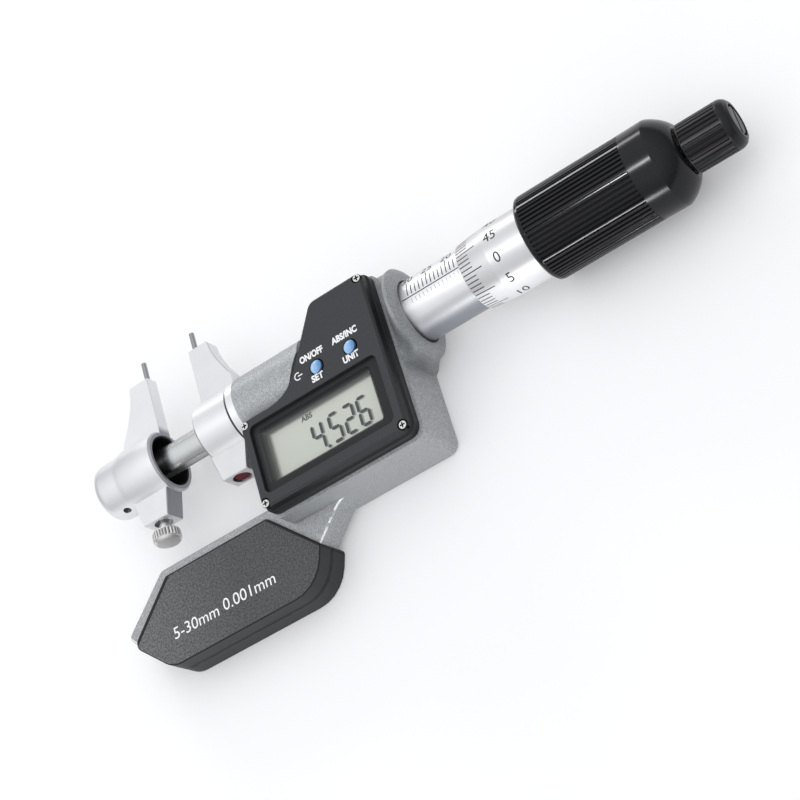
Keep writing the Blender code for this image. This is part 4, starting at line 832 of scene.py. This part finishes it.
def rolled_words(words, height, x, v, radius_at, stretch=1.0):
    """Letters filled flat, cut into small triangles, and rolled on to the surface."""
    curve = bpy.data.curves.new("words", "FONT")
    curve.body = words
    curve.align_x = "CENTER"
    curve.resolution_u = 3
    raised = bpy.data.objects.new("words", curve)
    mesh = bpy.data.meshes.new_from_object(raised)
    bpy.data.objects.remove(raised, do_unlink=True)
    points = np.empty(len(mesh.vertices) * 3)
    mesh.vertices.foreach_get("co", points)
    points = points.reshape(-1, 3)[:, :2]
    low, high = points.min(axis=0), points.max(axis=0)
    points = (points - (low + high) / 2) * height / (high[1] - low[1]) * np.array([stretch, 1.0])
    mesh.calc_loop_triangles()
    faces = np.empty(len(mesh.loop_triangles) * 3, dtype=np.int32)
    mesh.loop_triangles.foreach_get("vertices", faces)
    bpy.data.meshes.remove(mesh)
    corners = points[faces.reshape(-1, 3)]
    for _ in range(3):
        a, b, c = corners[:, 0], corners[:, 1], corners[:, 2]
        ab, bc, ca = (a + b) / 2, (b + c) / 2, (c + a) / 2
        corners = np.concatenate([
            np.stack(trio, axis=1) for trio in ((a, ab, ca), (ab, b, bc), (ca, bc, c), (ab, bc, ca))
        ])
    flat = corners.reshape(-1, 2) + np.array([x, v])
    return roll(flat[:, 0], flat[:, 1], radius_at), np.arange(len(flat)).reshape(-1, 3)


def scale_piece(name, marks, material, body):
    """Joins many marks, each an array of points and one of faces, into one mesh."""
    points = np.concatenate([p for p, f in marks])
    offsets = np.cumsum([0] + [len(p) for p, f in marks])
    faces = [row for (p, f), start in zip(marks, offsets) for row in (f + start).tolist()]
    mesh = bpy.data.meshes.new(name)
    mesh.from_pydata(points.tolist(), [], faces)
    mesh.shade_smooth()
    mesh.materials.append(material)
    piece = bpy.data.objects.new(name, mesh)
    bpy.context.scene.collection.objects.link(piece)
    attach(piece, body)
    return piece


# %% The sleeve's scale
def on_sleeve(u):
    """The sleeve's radius, the same all along."""
    return sleeve_r + 0 * u


thirty_x, line_start, line_end = 22.1 * mm, 20.3 * mm, 45 * mm
line_v = -0.2 * mm
width, fine_width = 0.22 * mm, 0.10 * mm
long_reach, short_reach, number_v = 3.9 * mm, 2.9 * mm, line_v + 5.4 * mm
marks = [mark_grid(line_start, line_end, line_v - width / 2, line_v + width / 2, on_sleeve, 3, 2)]
fine = []
for step in range(26):
    x, half = thirty_x + step * mm, thirty_x + step * mm + 0.5 * mm
    low_v = line_v + 0.45 * mm
    high_v = line_v + (long_reach if step % 5 == 0 else short_reach)
    marks.append(mark_grid(x - width / 2, x + width / 2, low_v, high_v, on_sleeve, 10, 2))
    low_v, high_v = line_v - 1.55 * mm, line_v - 0.55 * mm
    left, right = half - fine_width / 2, half + fine_width / 2
    fine.append(mark_grid(left, right, low_v, high_v, on_sleeve, 5, 2))
    if step % 5 == 0:
        number = rolled_words(str(30 - step), 2.3 * mm, x + 0.1 * mm, number_v, on_sleeve, 0.9)
        marks.append(number)
scale_piece("sleeve_scale", marks, ink_black, body_of["sleeve"])
scale_piece("sleeve_half_marks", fine, ink_faint, body_of["sleeve"])


# %% The thimble's scale
def on_thimble(u):
    """The thimble's radius: lip + (barrel - lip) (u - edge) / (cone - edge), then the barrel's."""
    cone = lip_r + (barrel_r - lip_r) * (u - edge_x) / (cone_x - edge_x)
    return np.where(u < cone_x, cone, barrel_r)


def spun(mark, angle):
    """A mark turned round the axis: (y cos a - z sin a, z cos a + y sin a)."""
    points, faces = mark
    y, z = points[:, 1], points[:, 2] - axis_z
    c, s = math.cos(angle), math.sin(angle)
    return np.column_stack([points[:, 0], y * c - z * s, axis_z + z * c + y * s]), faces


zero_angle, division = math.radians(22.3), math.radians(7.2)
number_x = 44.0 * mm
marks = []
for step in range(50):
    angle = zero_angle + division * step
    reach = 5.0 * mm if step % 5 == 0 else 3.0 * mm
    line = mark_grid(edge_x + 0.15 * mm, edge_x + reach, -width / 2, width / 2, on_thimble, 3, 9)
    marks.append(spun(line, angle))
    if step % 5 == 0:
        number = rolled_words(str(step), 2.35 * mm, number_x, 0.0, on_thimble, 0.95)
        marks.append(spun(number, angle))
scale_piece("thimble_scale", marks, ink_black, body_of["thimble"])
print("sleeve marked from 30 down, thimble with fifty divisions")


# %% [markdown]
# ## The display
# A liquid crystal display shows dark bars that seem to float under the pane. Each digit is
# made of up to seven bars with pointed ends. A bar is six points: two ends on the middle
# line, and four corners set in by half the bar's width. The same bars, moved a little and
# lighter, are the shadow that they throw on the ground below.


# %% Segments
def bar(start, end, width, gap):
    """A six-sided bar: its ends are drawn in by gap and pointed by half its width."""
    start, end = np.array(start, float), np.array(end, float)
    along = (end - start) / np.linalg.norm(end - start)
    across = np.array([-along[1], along[0]]) * width / 2
    a, b = start + along * gap, end - along * gap
    inner_a, inner_b = a + along * width / 2, b - along * width / 2
    return np.array([a, inner_a + across, inner_b + across, b, inner_b - across, inner_a - across])


lit = {"4": "bcfg", "5": "acdfg", "2": "abdeg", "6": "acdefg"}


def digit(sign, left, low, wide, tall, width):
    """The lit bars of one seven-segment digit."""
    x0, x1, y0, ym, y1 = left, left + wide, low, low + tall / 2, low + tall
    lines = {
        "a": ((x0, y1), (x1, y1)), "b": ((x1, ym), (x1, y1)), "c": ((x1, y0), (x1, ym)),
        "d": ((x0, y0), (x1, y0)), "e": ((x0, y0), (x0, ym)), "f": ((x0, ym), (x0, y1)),
        "g": ((x0, ym), (x1, ym)),
    }
    return [bar(*lines[key], width, 0.1 * mm) for key in lit[sign]]


segment_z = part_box("lcd_panel")[1].z + 0.03 * mm
digit_lefts, digit_low = (-9.9, -5.35, -1.55, 2.2), -20.6 * mm
digit_wide, digit_tall, bar_width = 2.35 * mm, 6.4 * mm, 0.74 * mm
point_x, point_y, point_r = -6.75 * mm, -20.7 * mm, 0.42 * mm
bars = []
for sign, left in zip("4526", digit_lefts):
    bars += digit(sign, left * mm, digit_low, digit_wide, digit_tall, bar_width)
turn = np.linspace(0, 2 * math.pi, 6, endpoint=False)
bars.append(np.stack([point_x + point_r * np.cos(turn), point_y + point_r * np.sin(turn)], axis=1))
flat = np.concatenate(bars)
points = np.column_stack([flat, np.full(len(flat), segment_z)])
bar_faces = np.arange(len(flat)).reshape(-1, 6)
fall = np.array([0.34 * mm, -0.22 * mm, -0.015 * mm])
for name, moved, ink in (
    ("display_segments", 0 * fall, ink_segment), ("display_shadows", fall, ink_painted_shadow),
):
    segments = mesh_piece(name, points + moved, bar_faces, ink)
    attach(segments, "frame")
flat_words(
    "display_mode", "ABS", 1.35 * mm, (-10.3 * mm, -11.7 * mm), segment_z,
    ink_mode, bold=0.04,
)
print("reading shown by", len(bars), "bars")

# %% [markdown]
# ## Printed words
# The cover's words are white pad printing: bold capitals under two millimetres tall. The
# range and the step on the grip are thinner, and a little larger.

# %% Words on the cover and on the grip
cover_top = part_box("display_cover")[1].z + print_lift
for name, words, height, centre, stretch in (
    ("print_on_off", "ON/OFF", 1.68, (-3.2, -0.8), 0.8),
    ("print_set", "SET", 1.68, (-3.2, -6.35), 0.92),
    ("print_abs_inc", "ABS/INC", 1.68, (5.7, -0.78), 0.84),
    ("print_unit", "UNIT", 1.68, (5.85, -6.3), 0.82),
):
    flat_words(
        name, words, height * mm, (centre[0] * mm, centre[1] * mm), cover_top, ink_white,
        bold=0.045, stretch=stretch,
    )
shell_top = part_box("front_grip_shell")[1].z + print_lift
for name, words, centre in (
    ("print_range", "5-30mm", (-54.4, -38.6)),
    ("print_step", "0.001mm", (-39.3, -38.3)),
):
    place = (centre[0] * mm, centre[1] * mm)
    flat_words(name, words, 2.75 * mm, place, shell_top, ink_white)


# %% The sign beside the first button
def ribbon(points, width):
    """A flat band along a line: each point moved half the width to either side of its tangent."""
    line = np.asarray(points, float)
    along = np.gradient(line, axis=0)
    along /= np.linalg.norm(along, axis=1, keepdims=True)
    across = np.column_stack([-along[:, 1], along[:, 0]]) * width / 2
    corners = np.concatenate([line + across, line - across])
    i = np.arange(len(line) - 1)
    return corners, np.stack([i, i + 1, i + 1 + len(line), i + len(line)], axis=1)


sign_x, sign_y, sign_r, sign_width = -7.75 * mm, -3.75 * mm, 0.82 * mm, 0.26 * mm
turn = np.radians(np.linspace(55, 305, 25))
arc = np.column_stack([sign_x + sign_r * np.cos(turn), sign_y + sign_r * np.sin(turn)])
ring, ring_faces = ribbon(arc, sign_width)
dash, dash_faces = ribbon([[sign_x, sign_y], [sign_x + 1.25 * mm, sign_y]], sign_width)
flat = np.concatenate([ring, dash])
points = np.column_stack([flat, np.full(len(flat), cover_top)])
faces = np.concatenate([ring_faces, dash_faces + len(ring)])[:, ::-1]
sign = mesh_piece("print_sign", points, faces, ink_white)
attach(sign, "frame")
print("words printed")

# %% [markdown]
# ## Floor and light
# A pale floor and a bright room: satin chrome shows mostly what surrounds it, so the room is
# nearly white, and three soft panels give the long highlights along the turned parts.

# %% Floor
floor_mesh = bpy.data.meshes.new("floor")
span = 3.0
corners = [(-span, -span, 0), (span, -span, 0), (span, span, 0), (-span, span, 0)]
floor_mesh.from_pydata(corners, [], [(0, 1, 2, 3)])
floor_paint = Finish("floor", (0.93, 0.93, 0.935), 0.75)
floor_mesh.materials.append(floor_paint.material)
floor = bpy.data.objects.new("floor", floor_mesh)
floor.location.z = -0.05 * mm
bpy.context.scene.collection.objects.link(floor)

# %% Room and panels
world = bpy.data.worlds.new("room")
world.use_nodes = True
room = world.node_tree
seen = room.nodes.new("ShaderNodeTexCoord")
axes = room.nodes.new("ShaderNodeSeparateXYZ")
height = room.nodes.new("ShaderNodeMapRange")
for limit, value in (("From Min", 0.0), ("From Max", 0.75), ("To Min", 0.22), ("To Max", 1.06)):
    height.inputs[limit].default_value = value
room.links.new(seen.outputs["Generated"], axes.inputs[0])
room.links.new(axes.outputs["Z"], height.inputs["Value"])
room.links.new(height.outputs["Result"], room.nodes["Background"].inputs["Strength"])
room.nodes["Background"].inputs["Color"].default_value = (0.97, 0.98, 1.0, 1.0)
bpy.context.scene.world = world
bpy.context.scene.view_settings.view_transform = "Standard"


def panel(name, place, aim, size, power, shadow=True):
    """A rectangular soft light at a place, facing a point; one without shadow only adds its gleam."""
    light = bpy.data.lights.new(name, "AREA")
    light.shape = "RECTANGLE"
    light.size, light.size_y = size
    light.energy = power
    light.use_shadow = shadow
    lamp = bpy.data.objects.new(name, light)
    lamp.location = place
    lamp.rotation_euler = (Vector(aim) - Vector(place)).to_track_quat("-Z", "Y").to_euler()
    bpy.context.scene.collection.objects.link(lamp)


panel("overhead", (-0.11, -0.04, 0.89), (0.08, 0.0, 0.0), (0.06, 0.12), 1.3, shadow=False)
panel("rear_left", (-0.25, 0.84, 0.26), (0.06, 0.0, 0.0), (0.36, 0.13), 1.3)
panel("front_left", (-0.18, -0.87, 0.055), (0.06, 0.0, 0.0), (0.16, 0.10), 1.25)
